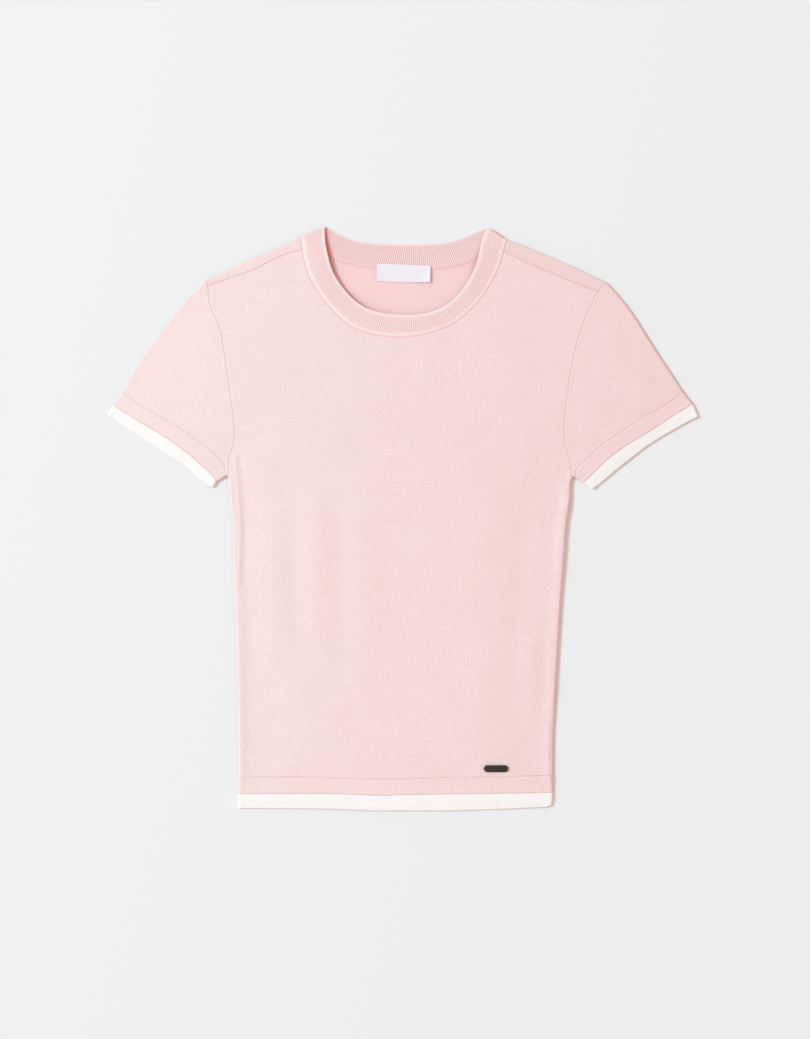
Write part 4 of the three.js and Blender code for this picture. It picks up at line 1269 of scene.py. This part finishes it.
for k in range(badge["rings"] + 1):  # rounded lower edge, side, rounded upper edge
    angle = math.pi / 2 * k / badge["rings"]
    inward, lift = badge["edge"] * (1 - math.sin(angle)), badge["edge"] * (1 - math.cos(angle))
    levels.append((badge["width"] / 2 - inward, lift))
levels += [(r, badge["height"] - h) for r, h in reversed(levels)]
crown = [(badge["width"] / 2 - badge["edge"]) * share for share in (0.75, 0.5, 0.25)]
levels += [(r, badge["height"] + badge["crown"] * (1 - (r / badge["width"] * 2) ** 2)) for r in crown]
levels = [(crown[-1 - i], 0.0) for i in range(3)] + levels
badgePoints = []
for r, h in levels:
    ringPoints = centres + outline * r + np.array([badge["x"], badge["y"]])
    rest = floorZ + loft(ringPoints) + seamProfile(ringPoints, "panel")
    badgePoints.append(raised(ringPoints, rest + badge["gap"] + h))
badgePoints = np.array(badgePoints)
count = badgePoints.shape[1]
faces = []
for j in range(len(levels) - 1):
    for i in range(count):
        k = (i + 1) % count
        faces.append((j * count + i, j * count + k, (j + 1) * count + k, (j + 1) * count + i))
half = badge["steps"]
for j, downward in ((0, True), (len(levels) - 1, False)):
    for i in range(half - 1):
        quad = [j * count + i, j * count + i + 1, j * count + count - 2 - i, j * count + count - 1 - i]
        faces.append(tuple(reversed(quad)) if downward else tuple(quad))
badgeMesh = bpy.data.meshes.new("badge_bar")
badgeMesh.from_pydata([tuple(p * metre) for p in badgePoints.reshape(-1, 3)], [], faces)
badgeMesh.shade_smooth()
finishPiece("badge_bar", badgeMesh, "dark_metal", ["hem_badge"])
print("badge done")

# linking stitches along the seams, by Geometry Nodes
stitches = {
    "pitch": 1.7, "length": 1.5, "slant": 0.35, "rise": 0.18, "thread": 0.17, "sink": 0.3, "flatSink": 0.48,
    "below": 0.16, "backRise": 0.1, "pathStep": 1.5, "fromEnd": 0.004,
}


def stitchTree():
    n, taken = newTree("linking_stitches", ("Pitch", "Length", "Slant", "Rise", "Thread"), [("Seed", "Int")])
    path = n.add("GeometryNodeMeshToCurve", None, {0: taken["Geometry"]})
    spaced = n.add("GeometryNodeResampleCurve", {"mode": "LENGTH"}, {"Curve": path, "Length": taken["Pitch"]})
    halfLength, halfSlant = taken["Length"] * 0.5, taken["Slant"] * 0.5

    def corner(x, y, z):
        return n.add("ShaderNodeCombineXYZ", None, {0: x, 1: y, 2: z})

    loop = n.add("GeometryNodeCurvePrimitiveBezierSegment", {"mode": "POSITION"}, {
        "Resolution": 5,
        "Start": corner(halfLength * -1, halfSlant * -1, taken["Rise"] * -1),
        "Start Handle": corner(halfLength * -0.6, halfSlant * -1, taken["Rise"]),
        "End Handle": corner(halfLength * 0.6, halfSlant, taken["Rise"]),
        "End": corner(halfLength, halfSlant, taken["Rise"] * -1),
    })
    section = n.add("GeometryNodeCurvePrimitiveCircle", {"mode": "RADIUS"}, {
        "Resolution": 6, "Radius": taken["Thread"]})
    thread = n.add("GeometryNodeCurveToMesh", None, {
        "Curve": loop, "Profile Curve": section, "Fill Caps": True})
    tangent = n.add("GeometryNodeInputTangent")
    facing = n.add("FunctionNodeAlignRotationToVector", {"axis": "X", "pivot_axis": "Z"}, {"Vector": tangent})
    wobble = n.add("FunctionNodeRandomValue", {"data_type": "FLOAT"}, {
        2: 0.88, 3: 1.12, "Seed": taken["Seed"]}, 1)
    placed = n.add("GeometryNodeInstanceOnPoints", None, {
        "Points": spaced, "Instance": thread, "Rotation": facing, "Scale": wobble})
    whole = n.add("GeometryNodeRealizeInstances", None, {"Geometry": placed})
    return closeTree(n, n.add("GeometryNodeSetShadeSmooth", None, {0: whole}), taken["Material"])


def pathMesh(name, paths):
    points, edges = [], []
    for path in paths:
        first = len(points)
        points.extend(tuple(p * metre) for p in path)
        edges.extend((first + i, first + i + 1) for i in range(len(path) - 1))
    mesh = bpy.data.meshes.new(name)
    mesh.from_pydata(points, edges, [])
    return mesh


def stitchPath(line):
    count = max(4, int(lengthOf(line) / stitches["pathStep"]))
    return atFractions(line, np.linspace(stitches["fromEnd"], 1 - stitches["fromEnd"], count))


def onTop(line, sink=stitches["sink"]):
    line = stitchPath(line)
    return raised(line, cloth["upperMiddle"] + cloth["wall"] / 2 + loft(line) - sink)


def atHeight(line, z):
    return raised(stitchPath(line), z)


beneath = stitches["thread"] + stitches["below"]
withinBack = cloth["wall"] - stitches["sink"] + stitches["backRise"]
paths = [onTop(neckFront)] + [atHeight(lines["backNeckSeam"], z) for z in (withinBack, beneath)]
paths += [onTop(lines["seamY"], stitches["flatSink"]), atHeight(lines["seamY"], beneath)]
for side in sides:
    arm, shoulder, cuff = (lines[name, side] for name in ("armhole", "shoulderSeam", "cuffSeam"))
    paths += [onTop(armFront[side]), atHeight(arm, beneath), onTop(shoulder)]
    paths += [onTop(cuff, stitches["flatSink"]), atHeight(cuff, beneath)]
seamMesh = applyTree("seam_stitches", pathMesh("seam_paths", paths), stitchTree(), {
    **{key.title(): stitches[key] * metre for key in ("pitch", "length", "slant", "rise", "thread")},
    "Seed": 3, "Material": pinkThread,
})
finishPiece("seam_stitches", seamMesh, "pink_knit", finish=pinkThread)
print("stitches done")

# floor, light and camera
stage = {"size": 10.0, "color": (0.75, 0.75, 0.755)}
floorMesh = bpy.data.meshes.new("floor")
half = stage["size"] / 2
corners = [(-half, -half, 0), (half, -half, 0), (half, half, 0), (-half, half, 0)]
floorMesh.from_pydata(corners, [], [(0, 1, 2, 3)])
floorFinish, n = newFinish("plain_floor")
closeFinish(n, Base_Color=tone(*stage["color"]), Roughness=0.95, Specular_IOR_Level=0.1)
floorMesh.materials.append(floorFinish)
addObject("floor", floorMesh)

studio = {
    "key": {"place": (-8.5, 2.7, 7.5), "size": 2.8, "power": 1000, "color": (0.57, 0.94, 1.08)},
    "sky": {"strength": 0.89, "color": (1.0, 0.80, 0.72)},
}
key = bpy.data.lights.new("key", "AREA")
key.shape = "SQUARE"
key.size = studio["key"]["size"]
key.energy = studio["key"]["power"]
key.color = studio["key"]["color"]
keyLamp = addObject("key", key)
keyLamp.location = studio["key"]["place"]
keyLamp.rotation_euler = (-Vector(studio["key"]["place"])).to_track_quat("-Z", "Y").to_euler()
world = bpy.data.worlds.new("studio")
world.use_nodes = True
sky = world.node_tree.nodes["Background"].inputs
sky["Color"].default_value = tone(*studio["sky"]["color"])
sky["Strength"].default_value = studio["sky"]["strength"]
bpy.context.scene.world = world

view = {"x": 1.84, "y": -0.55, "height": 955.9, "distance": 2600.0, "above": 3, "sensor": 36.0, "clipEnd": 20}
camera = bpy.data.cameras.new("above")
camera.sensor_fit = "VERTICAL"
camera.sensor_height = view["sensor"]
camera.lens = view["sensor"] * view["distance"] / view["height"]
camera.clip_end = view["clipEnd"]
above = addObject("above", camera)
above.location = (view["x"] * metre, view["y"] * metre, (view["distance"] + view["above"]) * metre)
bpy.context.scene.camera = above
bpy.context.scene.view_settings.view_transform = "Standard"
bpy.context.scene.view_settings.look = "None"
print("stage, light and camera done")
